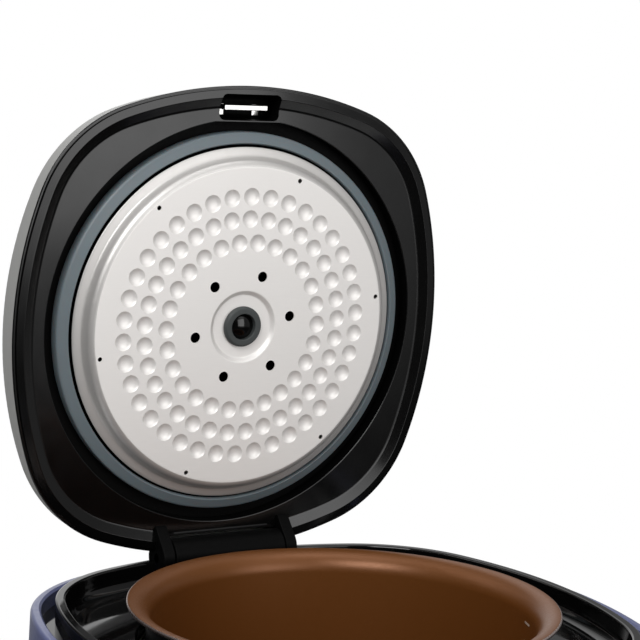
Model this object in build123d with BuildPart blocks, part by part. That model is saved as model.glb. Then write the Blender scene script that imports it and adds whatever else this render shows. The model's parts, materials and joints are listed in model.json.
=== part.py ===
from build123d import *
import os
from math import cos, radians, sin, sqrt

# A countertop rice cooker with its lid standing open, in millimetres.
# The origin is on the pot's axis, on the surface that the feet stand on.
# +Z is up, the front with the control panel faces -Y, and the lid hinge is at +Y.

# Plan outline: a rounded square of shallow side arcs and tighter corner arcs
PLAN_HALF = 144.0
SIDE_RADIUS = 250.0
CORNER_RADIUS = 80.0

# Pot
RIM_Z = 195.0
POT_RIM_RADIUS = 120.0
POT_RADIUS = 109.0
POT_WALL = 2.4
POT_FLOOR_Z = 56.0
POT_CORNER = 24.0
POT_FLARE = 12.0

# Body shell: the side bulges along one arc, and ends in a flat rim
SHELL_BASE_Z = 10.0
SHELL_TOP_Z = 183.0
SHOULDER_Z = 180.5
SHELF_Z = 174.0
SHELL_WALL = 2.5
BULGE_HALF = 164.5
BULGE_Z = 150.0
FLANK_RADIUS = 732.7
RIM_OUTER_HALF = 161.4
RIM_INNER_HALF = 158.0
RIM_CHAMFER = 1.2
SKIN_CUT = 6.0

# Top frame: the lid shuts inside its raised lip
DECK_HALF = 161.0
DECK_THICKNESS = 4.0
WELL_RADIUS = 113.8
LIP_OUTER_HALF = 150.2
LIP_INNER_HALF = 144.4
LIP_TOP_Z = 188.5
LIP_ROUND = 1.4
LIP_DRAFT = 0.6
LIP_EMBED = 1.0
TROUGH_ROUND = 9.0
COLLAR_DEPTH = 12.0
HINGE_GAP_DEPTH = 36.0
OPEN_SPACE = 40.0

# Lid hinge
HINGE_Y = 142.4
HINGE_Z = 189.5
OPEN_ANGLE = 86.0
KNUCKLE_RADIUS = 11.2
KNUCKLE_PLAY = 1.0
BARREL_HALF = 37.6
RIB_INNER = 38.4
RIB_OUTER = 46.0
RIB_RISE = 2.6
RIB_ARC_START = 60.0
RIB_ARC = 210.0
PIN_RADIUS = 3.0
PIN_PLAY = 0.08
SPRING_RADIUS = 7.0
SPRING_WIRE = 2.0
SPRING_PLAY = 0.5
SPRING_LENGTH = 22.0
NOTCH_HALF = 47.8
NOTCH_PLAY = 0.5
NOTCH_DEPTH = 20.0

# Lid: depths are measured from the face of the inner plate, and positive depths face the pot
FACE_DROP = 11.0
LID_HALF = 143.5
LID_TOP = -60.0
CROWN_RADIUS = 420.0
CROWN_BLEND = 15.0
SIDE_DRAFT = 0.08
FRONT_DRAFT = 0.10
COVER_WALL = 2.6
COVER_EDGE = -9.5
RIM_EDGE = 0.6
CREST = -7.0
CREST_OUTER_HALF = 137.4
CREST_INNER_HALF = 136.8
BAND = -9.8
BAND_HALF = 131.0
LINER_BACK = -13.6
LINER_INNER_HALF = 139.4
RECESS_RADIUS = 123.6
RECESS_FLOOR = -18.8
PAN_RADIUS = 126.2
PAN_BACK = -21.2

# Inner lid plate: each ring of dimples has a radius, a count and the angle of its first dimple
PLATE_SHEET = 1.0
PLATE_FACE_RADIUS = 96.0
PLATE_STEP = 4.6
PLATE_FLANGE_RADIUS = 104.5
PLATE_RIM_RADIUS = 107.4
PLATE_RIM_DEPTH = -8.1
PLATE_RIM_DISH = 1.0
SHOULDER_ROUND = 2.6
PLATE_HUB_STEP = 3.2
PLATE_HUB_RADIUS = 22.2
PLATE_HUB_DEPTH = 2.2
PLATE_EYE_RADIUS = 9.4
DIMPLE_RADIUS = 5.3
DIMPLE_DEPTH = 1.5
DIMPLE_RINGS = [(51.2, 26, 90 + 180 / 26), (65.4, 33, 90), (78.8, 38, 90)]
HOLE_COUNT = 6
HOLE_START = 9.9
SMALL_HOLE = (94.0, 1.2)
LARGE_HOLE = (32.2, 3.2)

# Gasket
GASKET_INNER = 108.0
GASKET_TOE = (109.2, -7.7)
GASKET_SHOULDER = (116.7, -13.1)
GASKET_OUTER = 117.6
GASKET_NECK = 112.5
GASKET_LIP = 2.7
GASKET_EDGE = 1.2

# Plate grommet and its post
GROMMET_RADIUS = 12.3
GROMMET_FACE = 1.0
GROMMET_BACK = -5.6
GROMMET_EDGE = 1.0
GROMMET_PLAY = 0.3
POST_RADIUS = 7.6
POST_HEAD = 0.5
POST_DOME = 2.5
POST_FLANGE = 2.0

# Latch
POCKET_V = 130.7
POCKET_WIDTH = 40.0
POCKET_HEIGHT = 15.8
POCKET_FLOOR = -26.0
POCKET_WALL = 2.0
POCKET_ROUND = 3.5
HOUSING_PLAY = 0.2
STRIKER_V = 130.0
STRIKER_DEPTH = -15.5
STRIKER_LENGTH = 29.0
STRIKER_SIZE = 3.0
STRIKER_LEG = 2.0
STRIKER_FOOT_LENGTH = 5.0
STRIKER_FOOT_WIDTH = 7.0
STRIKER_FOOT_SHEET = 1.2
LATCH_Y = -140.0
LATCH_Z = 165.0
HOOK_HALF = 4.5
HOOK_PLAY = 1.5
HOOK_NOSE_Z = 201.6
HOOK_OUTER = 3.8
HOOK_INNER = 7.2
HOOK_NOSE = 10.8
HOOK_BOSS = 4.0
SHANK_RISE = 8.0
NOSE_EDGE = 1.0
NOSE_HEIGHT = 3.6
ARM_OUTER = 5.5
ARM_INNER = 1.5
ARM_DROP = 4.0
ARM_RISE = 5.0
HOOK_SLOT = 16.0
HOOK_SLOT_OFFSET = 3.0
LATCH_PIN_RADIUS = 1.5
EAR_WIDTH = 10.0
EAR_THICKNESS = 2.5
SPRING_Z = 150.0
SPRING_SEAT_Y = -132.0
SPRING_SEAT_WIDTH = 22.0
SPRING_SEAT_DROP = 6.0
LATCH_SPRING_RADIUS = 3.0
LATCH_SPRING_WIRE = 1.0
SPRING_PRELOAD = 0.3
PLUNGER_WIDTH = 10.0
PLUNGER_HEIGHT = 5.0
PLUNGER_GAP = 6.2
PLUNGER_DROP = 1.0

# Steam vent
VENT_V = -45.0
CUP_RADIUS = 31.0
CUP_BORE = 29.0
CUP_FLOOR = -44.0
DUCT_BORE = 8.0
DUCT_WALL = 3.0
CAP_RADIUS = 28.2
CAP_WALL = 1.8
CAP_FOOT = -46.0
CAP_TOP = -56.5
CAP_CROWN = 1.0
CAP_ROUND = 4.0
CAP_SEAL_WIDTH = 5.0
CAP_SLOT_COUNT = 8
CAP_SLOT_CIRCLE = 15.0
CAP_SLOT_LENGTH = 14.0
CAP_SLOT_WIDTH = 3.2

# Front panel and buttons
PANEL_LOW = 45.0
PANEL_HIGH = 132.0
PANEL_ANGLE = 13.4
PANEL_PROUD = 1.6
PANEL_PLUG = 4.0
PLUG_PLAY = 0.3
WINDOW_MARGIN = 5.0
WINDOW_ANGLE = 12.4
PLUG_ANGLE = 12.3
LENS_LOW = 96.0
LENS_HIGH = 122.0
LENS_ANGLE = 6.5
LENS_PLAY = 0.3
LENS_PLAY_ANGLE = 0.07
LENS_SUNK = 0.3
BUTTON_Z = 72.0
BUTTON_RADIUS = 7.5
BUTTON_PITCH = 26.0
BUTTON_PLAY = 0.4
BUTTON_PROUD = 1.4
BUTTON_ROUND = 1.0
BUTTON_TRAVEL = 1.7
BUTTON_STEM = 3.0
BUTTON_FLANGE = 1.5
BUTTON_FLANGE_SHEET = 2.0
BUTTON_FLANGE_GAP = 1.8
OPENER_LOW = 140.0
OPENER_HIGH = 158.0
OPENER_ANGLE = 4.9
OPENER_DEPTH = 9.0
OPENER_PROUD = 1.0
OPENER_PLAY = 0.8
OPENER_PLAY_ANGLE = 0.17

# Base
BASE_LOW = 6.0
BASE_HALF = 150.5
BASE_ROUND = 2.5
UPSTAND_HALF = 147.4
UPSTAND_WALL = 2.2
UPSTAND_HEIGHT = 14.0
VENT_SLOT_LENGTH = 36.0
VENT_SLOT_WIDTH = 4.0
VENT_SLOT_PITCH = (46.0, 10.0)
FOOT_SPREAD = 98.0
FOOT_RADIUS = 11.0
FOOT_TAPER = 1.5
FOOT_STEM = 3.4
FOOT_STEM_REACH = 2.0

# Inner shell and its screws
INNER_SHELL_RADIUS = 112.2
INNER_SHELL_FLOOR = 36.0
INNER_SHELL_TOP = 167.0
INNER_SHELL_HEEL = 6.0
SHEET = 1.0
SENSOR_WIRE_HOLE = 5.0
POST_CIRCLE = 95.0
POST_COUNT = 3
PILLAR_RADIUS = 6.0
SCREW_HEAD = 4.0
SCREW_HEAD_HEIGHT = 2.0
SCREW_SHANK = 1.8
SCREW_LENGTH = 14.0
SCREW_PLAY = 0.4
THREAD_PLAY = 0.1

# Power inlet
INLET_Z = 38.0
INLET_WIDTH = 30.0
INLET_HEIGHT = 24.0
INLET_DEPTH = 20.0
INLET_FLANGE = 8.0
INLET_RIM = 8.0
INLET_ROUND = 3.0
INLET_PLAY = 0.6
INLET_PROUD = 1.5
INLET_WALL = 2.0
SOCKET_WIDTH = 25.0
SOCKET_HEIGHT = 18.0
INLET_PIN_X = 7.0
INLET_PIN_Z = 2.0
INLET_PIN_WIDTH = 2.0
INLET_PIN_HEIGHT = 4.0
INLET_PIN_REACH = 9.0

# Heater and temperature sensor
HEATER_RADIUS = 84.0
HEATER_THICKNESS = 7.0
HEATER_EYE = 21.0
HEATER_CHAMFER = 2.0
HEATER_LEG_CIRCLE = 78.0
HEATER_LEG_RADIUS = 4.0
ELEMENT_CIRCLE = 58.0
ELEMENT_RADIUS = 6.0
TERMINAL_OFFSET = 14.0
TERMINAL_RADIUS = 2.5
TERMINAL_LENGTH = 4.0
SENSOR_RADIUS = 17.0
SENSOR_TOP_Z = 55.7
SENSOR_FOOT_Z = 43.0
SENSOR_ROUND = 2.0
SENSOR_PLAY = 0.5
GUIDE_WALL = 1.2
GUIDE_HEIGHT = 12.0
SENSOR_SPRING_RADIUS = 10.0
SENSOR_SPRING_WIRE = 1.4

# Circuit boards
BOARD_THICKNESS = 1.6
BOARD_Y = -143.8
BOARD_EDGE = 6.0
BOSS_X = 50.0
BOSS_INSET = 11.0
BOSS_RADIUS = 3.0
POWER_BOARD_Y = -105.0
POWER_BOARD_Z = 16.0
POWER_BOARD_WIDTH = 90.0
POWER_BOARD_DEPTH = 46.0
STANDOFF_RADIUS = 3.0
STANDOFF_INSET = 5.0
RELAY = (8.0, 6.0, 19.0, 15.0)
TRANSFORMER = (-26.0, 0.0, 26.0, 22.0)
CAPACITOR_X = 30.0
CAPACITOR_RADIUS = 6.0
COMPONENT_HEIGHT = 14.0

SIDE_CENTRE = SIDE_RADIUS - PLAN_HALF
ARC_GAP = SIDE_RADIUS - CORNER_RADIUS
CORNER_CENTRE = (sqrt(2 * ARC_GAP**2 - SIDE_CENTRE**2) - SIDE_CENTRE) / 2
SIDE_TURN = Vector(CORNER_CENTRE + SIDE_CENTRE, CORNER_CENTRE).get_angle(Vector(1, 0))
FRONT_AXIS = Axis((0, SIDE_CENTRE, 0), (0, 0, 1))

LID_UP = Vector(0, -cos(radians(OPEN_ANGLE)), sin(radians(OPEN_ANGLE)))
LID_OUT = Vector(0, -sin(radians(OPEN_ANGLE)), -cos(radians(OPEN_ANGLE)))
HINGE_DEPTH = RIM_Z - FACE_DROP - HINGE_Z
LID = Plane(
    origin=Vector(0, HINGE_Y, HINGE_Z) + LID_UP * HINGE_Y - LID_OUT * HINGE_DEPTH,
    x_dir=(1, 0, 0),
    z_dir=LID_OUT,
)
LID_SECTION = Plane(origin=LID.origin, x_dir=(1, 0, 0), z_dir=-LID_UP)
LID_AXIS = Axis(LID.origin, LID_OUT)
VENT_ORIGIN = LID.from_local_coords((0, VENT_V, 0))
VENT_SECTION = Plane(origin=VENT_ORIGIN, x_dir=(1, 0, 0), z_dir=-LID_UP)
VENT_AXIS = Axis(VENT_ORIGIN, LID_OUT)


def finish(piece, name):
    """Labels a finished piece and writes it."""
    piece.part.label = name
    export_step(piece.part, f"parts/{name}.step")


def outline(half):
    """Rounded-square plan outline: side arcs that run into corner arcs, all concentric between sizes."""
    side = SIDE_RADIUS + half - PLAN_HALF
    corner = CORNER_RADIUS + half - PLAN_HALF
    with BuildLine() as line:
        arc = JernArc((half, 0), (0, 1), side, SIDE_TURN)
        for quarter in range(4):
            arc = JernArc(arc @ 1, arc % 1, corner, 90 - 2 * SIDE_TURN)
            arc = JernArc(arc @ 1, arc % 1, side, SIDE_TURN if quarter == 3 else 2 * SIDE_TURN)
    return line.wire()


def flank(z, proud=0.0):
    """Half width of the bulging body side at a height, or of a skin that stands proud of it."""
    return BULGE_HALF - FLANK_RADIUS + sqrt((FLANK_RADIUS + proud) ** 2 - (z - BULGE_Z) ** 2)


def front_y(x, z, proud=0.0):
    """Depth of the curved body front at a point."""
    return SIDE_CENTRE - sqrt((flank(z, proud) + SIDE_CENTRE) ** 2 - x**2)


def flank_arc(low, high, proud):
    """Arc up the front of the body, between two heights, drawn in the plane of symmetry."""
    middle = (low + high) / 2
    return ThreePointArc(*[(-flank(z, proud), z) for z in (low, middle, high)])


def front_band(low, high, half_angle, inner, outer):
    """Curved slab that follows the front of the body between two heights and two skins."""
    with BuildPart() as band:
        with BuildSketch(Plane.YZ):
            with BuildLine():
                front = flank_arc(low, high, outer)
                back = flank_arc(low, high, inner)
                Line(front @ 0, back @ 0)
                Line(front @ 1, back @ 1)
            make_face()
        revolve(axis=FRONT_AXIS, revolution_arc=2 * half_angle)
    return band.part.rotate(FRONT_AXIS, -half_angle)


def lid_form(inset):
    """Domed outside of the lid, or the hollow inside it when inset by the wall."""
    with BuildPart() as form:
        with BuildSketch(LID.offset(COVER_EDGE)):
            make_face(outline(LID_HALF - inset))
        with BuildSketch(LID.offset(COVER_EDGE + LID_TOP)):
            drafted = outline(LID_HALF - inset + SIDE_DRAFT * LID_TOP)
            make_face(drafted.moved(Location((0, FRONT_DRAFT * LID_TOP))))
        loft(ruled=True)
        with Locations(LID.from_local_coords((0, 0, LID_TOP + CROWN_RADIUS))):
            Sphere(CROWN_RADIUS - inset, mode=Mode.INTERSECT)
        walls = form.faces().filter_by(lambda f: abs(f.normal_at().dot(LID_OUT)) < 0.4)
        edges = [e for f in walls for e in f.edges() if abs((e % 0.5).dot(LID_OUT)) < 0.5]
        crown_edge = [e for e in edges if LID.to_local_coords(e.center()).Z < COVER_EDGE - 1]
        fillet(crown_edge, CROWN_BLEND - inset)
    return form.part


os.makedirs("parts", exist_ok=True)

# Lid cover: domed outer shell with a cup for the steam cap and a notch for the hinge
with BuildPart() as vent_cup:
    with BuildSketch(LID.offset(CUP_FLOOR + COVER_WALL)):
        with Locations((0, VENT_V)):
            Circle(CUP_RADIUS)
    extrude(amount=LID_TOP)
    add(lid_form(0), mode=Mode.INTERSECT)

with BuildPart() as lid_cover:
    add(lid_form(0))
    add(lid_form(COVER_WALL), mode=Mode.SUBTRACT)
    add(vent_cup.part)
    with BuildSketch(LID.offset(CUP_FLOOR)):
        with Locations((0, VENT_V)):
            Circle(CUP_BORE)
    extrude(amount=LID_TOP, mode=Mode.SUBTRACT)
    with BuildSketch(LID.offset(CUP_FLOOR)):
        with Locations((0, VENT_V)):
            Circle(DUCT_BORE)
    extrude(amount=2 * COVER_WALL, mode=Mode.SUBTRACT)
    with BuildSketch(LID.offset(COVER_EDGE)):
        with Locations((0, -LID_HALF)):
            Rectangle(2 * (RIB_OUTER + NOTCH_PLAY), NOTCH_DEPTH)
    extrude(amount=HINGE_DEPTH - KNUCKLE_RADIUS - KNUCKLE_PLAY - COVER_EDGE, mode=Mode.SUBTRACT)
finish(lid_cover, "lid_cover")

# Lid liner: moulded inner face with a ridge round its rim, a round recess, a latch pocket and hinge ribs
HOUSING_WIDTH = POCKET_WIDTH + 2 * POCKET_WALL
HOUSING_HEIGHT = POCKET_HEIGHT + 2 * POCKET_WALL
with BuildPart() as latch_housing:
    with BuildSketch(LID.offset(POCKET_FLOOR - POCKET_WALL)):
        with Locations((0, POCKET_V)):
            RectangleRounded(HOUSING_WIDTH, HOUSING_HEIGHT, POCKET_ROUND)
    extrude(amount=LINER_BACK - POCKET_FLOOR + POCKET_WALL)
    add(lid_form(COVER_WALL + HOUSING_PLAY), mode=Mode.INTERSECT)

with BuildPart() as latch_pocket:
    with BuildSketch(LID.offset(COVER_EDGE)):
        with Locations((0, POCKET_V)):
            RectangleRounded(POCKET_WIDTH, POCKET_HEIGHT, POCKET_ROUND)
    extrude(amount=POCKET_FLOOR - COVER_EDGE)
    add(lid_form(COVER_WALL + HOUSING_PLAY + POCKET_WALL / 2), mode=Mode.INTERSECT)

with BuildPart() as lid_liner:
    with BuildSketch(LID.offset(COVER_EDGE)):
        make_face(outline(LID_HALF))
    extrude(amount=RIM_EDGE)
    with BuildSketch(LID.offset(COVER_EDGE + RIM_EDGE)):
        make_face(outline(LID_HALF))
    with BuildSketch(LID.offset(CREST)):
        make_face(outline(CREST_OUTER_HALF))
    loft(ruled=True)
    with BuildSketch(LID.offset(LINER_BACK)):
        make_face(outline(LINER_INNER_HALF))
    extrude(amount=COVER_EDGE - LINER_BACK)
    with BuildSketch(LID.offset(PAN_BACK)):
        Circle(PAN_RADIUS)
    extrude(amount=LINER_BACK - PAN_BACK)
    add(latch_housing.part)
    with BuildSketch(LID.offset(CREST)):
        make_face(outline(CREST_INNER_HALF))
    with BuildSketch(LID.offset(BAND)):
        make_face(outline(BAND_HALF))
    loft(ruled=True, mode=Mode.SUBTRACT)
    with BuildSketch(LID.offset(BAND)):
        Circle(RECESS_RADIUS)
        with Locations((0, POCKET_V)):
            RectangleRounded(HOUSING_WIDTH, HOUSING_HEIGHT, POCKET_ROUND, mode=Mode.SUBTRACT)
    extrude(amount=RECESS_FLOOR - BAND, mode=Mode.SUBTRACT)
    with BuildSketch(LID.offset(CREST)):
        with Locations((0, POCKET_V)):
            RectangleRounded(POCKET_WIDTH, POCKET_HEIGHT, POCKET_ROUND)
    extrude(amount=COVER_EDGE - CREST, mode=Mode.SUBTRACT)
    add(latch_pocket.part, mode=Mode.SUBTRACT)
    with BuildSketch(LID.offset(RECESS_FLOOR)):
        with Locations((0, VENT_V)):
            Circle(DUCT_BORE)
    extrude(amount=PAN_BACK - RECESS_FLOOR, mode=Mode.SUBTRACT)
    with BuildSketch(LID.offset(CREST)):
        with Locations((0, -HINGE_Y)):
            Rectangle(2 * RIB_OUTER, 2 * (KNUCKLE_RADIUS + KNUCKLE_PLAY))
    extrude(amount=PAN_BACK - CREST, mode=Mode.SUBTRACT)
    for start in (RIB_INNER, -RIB_OUTER):
        rib_origin = LID.from_local_coords((start, 0, 0))
        with BuildSketch(Plane(origin=rib_origin, x_dir=LID_UP, z_dir=(1, 0, 0))):
            with BuildLine():
                barrel = CenterArc((-HINGE_Y, HINGE_DEPTH), KNUCKLE_RADIUS, RIB_ARC_START, RIB_ARC)
                Polyline(
                    barrel @ 0,
                    (-RECESS_RADIUS, BAND + RIB_RISE),
                    (-RECESS_RADIUS, LINER_BACK),
                    (-HINGE_Y + KNUCKLE_RADIUS, LINER_BACK),
                    barrel @ 1,
                )
            make_face()
            with Locations((-HINGE_Y, HINGE_DEPTH)):
                Circle(PIN_RADIUS + PIN_PLAY, mode=Mode.SUBTRACT)
        extrude(amount=RIB_OUTER - RIB_INNER)
finish(lid_liner, "lid_liner")

# Inner lid plate: pressed sheet with a stepped rim, a sunk hub, three rings of dimples and steam holes
DIMPLE_SPHERE = (DIMPLE_RADIUS**2 + DIMPLE_DEPTH**2) / (2 * DIMPLE_DEPTH)
CENTRED_BELOW = (Align.CENTER, Align.CENTER, Align.MAX)
CENTRED_ABOVE = (Align.CENTER, Align.CENTER, Align.MIN)
with BuildPart() as dimple_back:
    with Locations((0, 0, DIMPLE_SPHERE - DIMPLE_DEPTH)):
        Sphere(DIMPLE_SPHERE + PLATE_SHEET)
    with Locations((0, 0, -PLATE_SHEET / 2)):
        Cylinder(2 * DIMPLE_RADIUS, 2 * DIMPLE_RADIUS, align=CENTRED_BELOW, mode=Mode.INTERSECT)

with BuildPart() as inner_lid_plate:
    with BuildSketch(LID_SECTION):
        with BuildLine():
            hub = Polyline(
                (PLATE_EYE_RADIUS, -PLATE_HUB_DEPTH),
                (PLATE_HUB_RADIUS - PLATE_HUB_STEP, -PLATE_HUB_DEPTH),
                (PLATE_HUB_RADIUS, 0),
                (PLATE_FACE_RADIUS, 0),
            )
            shoulder_end = (PLATE_FACE_RADIUS + SHOULDER_ROUND, -SHOULDER_ROUND)
            cove_end = (PLATE_FLANGE_RADIUS, PLATE_RIM_DEPTH + PLATE_RIM_DISH)
            shoulder = TangentArc(hub @ 1, shoulder_end, tangent=(1, 0))
            step = Line(shoulder @ 1, (PLATE_FACE_RADIUS + SHOULDER_ROUND, -PLATE_STEP))
            cove = TangentArc(step @ 1, cove_end, tangent=(0, -1))
            Line(cove @ 1, (PLATE_RIM_RADIUS, PLATE_RIM_DEPTH))
            offset(amount=PLATE_SHEET, side=Side.RIGHT)
        make_face()
    revolve(axis=LID_AXIS)
    for ring_radius, count, first in DIMPLE_RINGS:
        with Locations(LID):
            with PolarLocations(ring_radius, count, start_angle=first):
                add(dimple_back.part)
    for ring_radius, count, first in DIMPLE_RINGS:
        with Locations(LID.offset(DIMPLE_SPHERE - DIMPLE_DEPTH)):
            with PolarLocations(ring_radius, count, start_angle=first):
                Sphere(DIMPLE_SPHERE, mode=Mode.SUBTRACT)
    for hole_circle, hole_radius in (SMALL_HOLE, LARGE_HOLE):
        with BuildSketch(LID):
            with PolarLocations(hole_circle, HOLE_COUNT, start_angle=HOLE_START):
                Circle(hole_radius)
        extrude(amount=-3 * PLATE_SHEET, mode=Mode.SUBTRACT)
finish(inner_lid_plate, "inner_lid_plate")

# Gasket: a sloping silicone ring that seals on the flared rim of the pot
with BuildPart() as lid_gasket:
    with BuildSketch(LID_SECTION):
        Polygon(
            (GASKET_INNER, GASKET_TOE[1] - GASKET_EDGE),
            GASKET_TOE,
            GASKET_SHOULDER,
            (GASKET_OUTER, GASKET_SHOULDER[1] - GASKET_EDGE),
            (GASKET_OUTER, RECESS_FLOOR),
            (GASKET_NECK, RECESS_FLOOR),
            (GASKET_NECK, GASKET_SHOULDER[1] - GASKET_LIP / 2),
            (GASKET_INNER, GASKET_TOE[1] - GASKET_EDGE - GASKET_LIP),
            align=None,
        )
    revolve(axis=LID_AXIS)
finish(lid_gasket, "lid_gasket")

# Grommet and post: the plate's silicone grommet grips a round-headed post on the liner
with BuildPart() as plate_grommet:
    with BuildSketch(LID_SECTION):
        with BuildLine():
            Polyline(
                (POST_RADIUS + GROMMET_PLAY, GROMMET_FACE),
                (GROMMET_RADIUS - GROMMET_EDGE, GROMMET_FACE),
                (GROMMET_RADIUS, GROMMET_FACE - GROMMET_EDGE),
                (GROMMET_RADIUS, -PLATE_HUB_DEPTH),
                (PLATE_EYE_RADIUS, -PLATE_HUB_DEPTH),
                (PLATE_EYE_RADIUS, -PLATE_HUB_DEPTH - PLATE_SHEET),
                (GROMMET_RADIUS, -PLATE_HUB_DEPTH - PLATE_SHEET),
                (GROMMET_RADIUS - GROMMET_EDGE, GROMMET_BACK),
                (POST_RADIUS + GROMMET_PLAY, GROMMET_BACK),
                close=True,
            )
        make_face()
    revolve(axis=LID_AXIS)
finish(plate_grommet, "plate_grommet")

with BuildPart() as plate_post:
    with BuildSketch(LID_SECTION):
        with BuildLine():
            stem = Polyline(
                (POST_RADIUS, POST_HEAD - POST_DOME),
                (POST_RADIUS, RECESS_FLOOR + POST_FLANGE),
                (2 * POST_RADIUS, RECESS_FLOOR + POST_FLANGE),
                (2 * POST_RADIUS, RECESS_FLOOR),
                (0, RECESS_FLOOR),
                (0, POST_HEAD),
            )
            TangentArc(stem @ 1, stem @ 0, tangent=(1, 0))
        make_face()
    revolve(axis=LID_AXIS)
finish(plate_post, "plate_post")

# Striker: a steel bar on two legs whose feet lie on the floor of the latch pocket
with BuildPart() as latch_striker:
    with BuildSketch(LID.offset(STRIKER_DEPTH - STRIKER_SIZE / 2)):
        with Locations((0, STRIKER_V)):
            Rectangle(STRIKER_LENGTH, STRIKER_SIZE)
    extrude(amount=STRIKER_SIZE)
    with BuildSketch(LID.offset(POCKET_FLOOR)):
        with Locations((0, STRIKER_V)):
            with GridLocations(STRIKER_LENGTH - STRIKER_LEG, 0, 2, 1):
                Rectangle(STRIKER_LEG, STRIKER_SIZE)
    extrude(amount=STRIKER_DEPTH - POCKET_FLOOR)
    with BuildSketch(LID.offset(POCKET_FLOOR)):
        with Locations((0, STRIKER_V - (STRIKER_FOOT_WIDTH - STRIKER_SIZE) / 2)):
            with GridLocations(STRIKER_LENGTH - STRIKER_FOOT_LENGTH, 0, 2, 1):
                Rectangle(STRIKER_FOOT_LENGTH, STRIKER_FOOT_WIDTH)
    extrude(amount=STRIKER_FOOT_SHEET)
finish(latch_striker, "latch_striker")

# Steam duct from the liner to the cup in the cover
with BuildPart() as steam_duct:
    with BuildSketch(LID.offset(PAN_BACK)):
        with Locations((0, VENT_V)):
            Circle(DUCT_BORE + DUCT_WALL)
            Circle(DUCT_BORE, mode=Mode.SUBTRACT)
    extrude(amount=CUP_FLOOR + COVER_WALL - PAN_BACK)
finish(steam_duct, "steam_duct")

# Steam cap: lifts out of the cup and lets steam out through a ring of slots
with BuildPart() as steam_cap:
    with BuildSketch(VENT_SECTION):
        with BuildLine():
            cap_side = Polyline(
                (CAP_RADIUS - CAP_WALL, CAP_FOOT),
                (CAP_RADIUS, CAP_FOOT),
                (CAP_RADIUS, CAP_TOP + CAP_ROUND),
            )
            cap_edge = TangentArc(cap_side @ 1, (CAP_RADIUS - CAP_ROUND, CAP_TOP), tangent=(0, -1))
            Polyline(
                cap_edge @ 1,
                (0, CAP_TOP - CAP_CROWN),
                (0, CAP_TOP - CAP_CROWN + CAP_WALL),
                (CAP_RADIUS - CAP_WALL, CAP_TOP + CAP_CROWN + CAP_WALL),
                cap_side @ 0,
            )
        make_face()
    revolve(axis=VENT_AXIS)
    with BuildSketch(Plane(origin=VENT_ORIGIN, x_dir=(1, 0, 0), z_dir=LID_OUT).offset(CAP_FOOT)):
        with PolarLocations(CAP_SLOT_CIRCLE, CAP_SLOT_COUNT):
            SlotOverall(CAP_SLOT_LENGTH, CAP_SLOT_WIDTH)
    extrude(amount=2 * CAP_TOP, mode=Mode.SUBTRACT)
finish(steam_cap, "steam_cap")

with BuildPart() as steam_cap_seal:
    with BuildSketch(LID.offset(CUP_FLOOR)):
        with Locations((0, VENT_V)):
            Circle(CAP_RADIUS)
            Circle(CAP_RADIUS - CAP_SEAL_WIDTH, mode=Mode.SUBTRACT)
    extrude(amount=CAP_FOOT - CUP_FLOOR)
finish(steam_cap_seal, "steam_cap_seal")

# Outer shell: one wall swept round the plan outline, with openings for the panel, opener and inlet
with BuildPart() as outer_shell:
    with BuildSketch(Plane.XZ) as wall:
        with BuildLine():
            outside = ThreePointArc(*[(flank(z), z) for z in (SHELL_BASE_Z, BULGE_Z, SHOULDER_Z)])
            rim = TangentArc(outside @ 1, (RIM_OUTER_HALF, SHELL_TOP_Z), tangent=outside % 1)
            Polyline(
                rim @ 1,
                (RIM_INNER_HALF + RIM_CHAMFER, SHELL_TOP_Z),
                (RIM_INNER_HALF, SHELL_TOP_Z - RIM_CHAMFER),
                (RIM_INNER_HALF, SHELF_Z),
                (flank(SHELF_Z, -SHELL_WALL), SHELF_Z),
            )
            inside = ThreePointArc(*[(flank(z, -SHELL_WALL), z) for z in (SHELF_Z, BULGE_Z, SHELL_BASE_Z)])
            Line(inside @ 1, outside @ 0)
        make_face()
    sweep(path=outline(flank(SHELL_BASE_Z)).moved(Location((0, 0, SHELL_BASE_Z))))
    windows = [
        (PANEL_LOW + WINDOW_MARGIN, PANEL_HIGH - WINDOW_MARGIN, WINDOW_ANGLE),
        (OPENER_LOW - OPENER_PLAY, OPENER_HIGH + OPENER_PLAY, OPENER_ANGLE + OPENER_PLAY_ANGLE),
    ]
    for window in windows:
        add(front_band(*window, -SKIN_CUT, SKIN_CUT), mode=Mode.SUBTRACT)
    with BuildSketch(Plane.XZ.offset(-BULGE_HALF)):
        with Locations((0, INLET_Z)):
            RectangleRounded(
                INLET_WIDTH + INLET_RIM + INLET_PLAY,
                INLET_HEIGHT + INLET_RIM + INLET_PLAY,
                INLET_ROUND + INLET_PLAY / 2,
            )
    extrude(amount=OPEN_SPACE, mode=Mode.SUBTRACT)
finish(outer_shell, "outer_shell")

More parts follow.
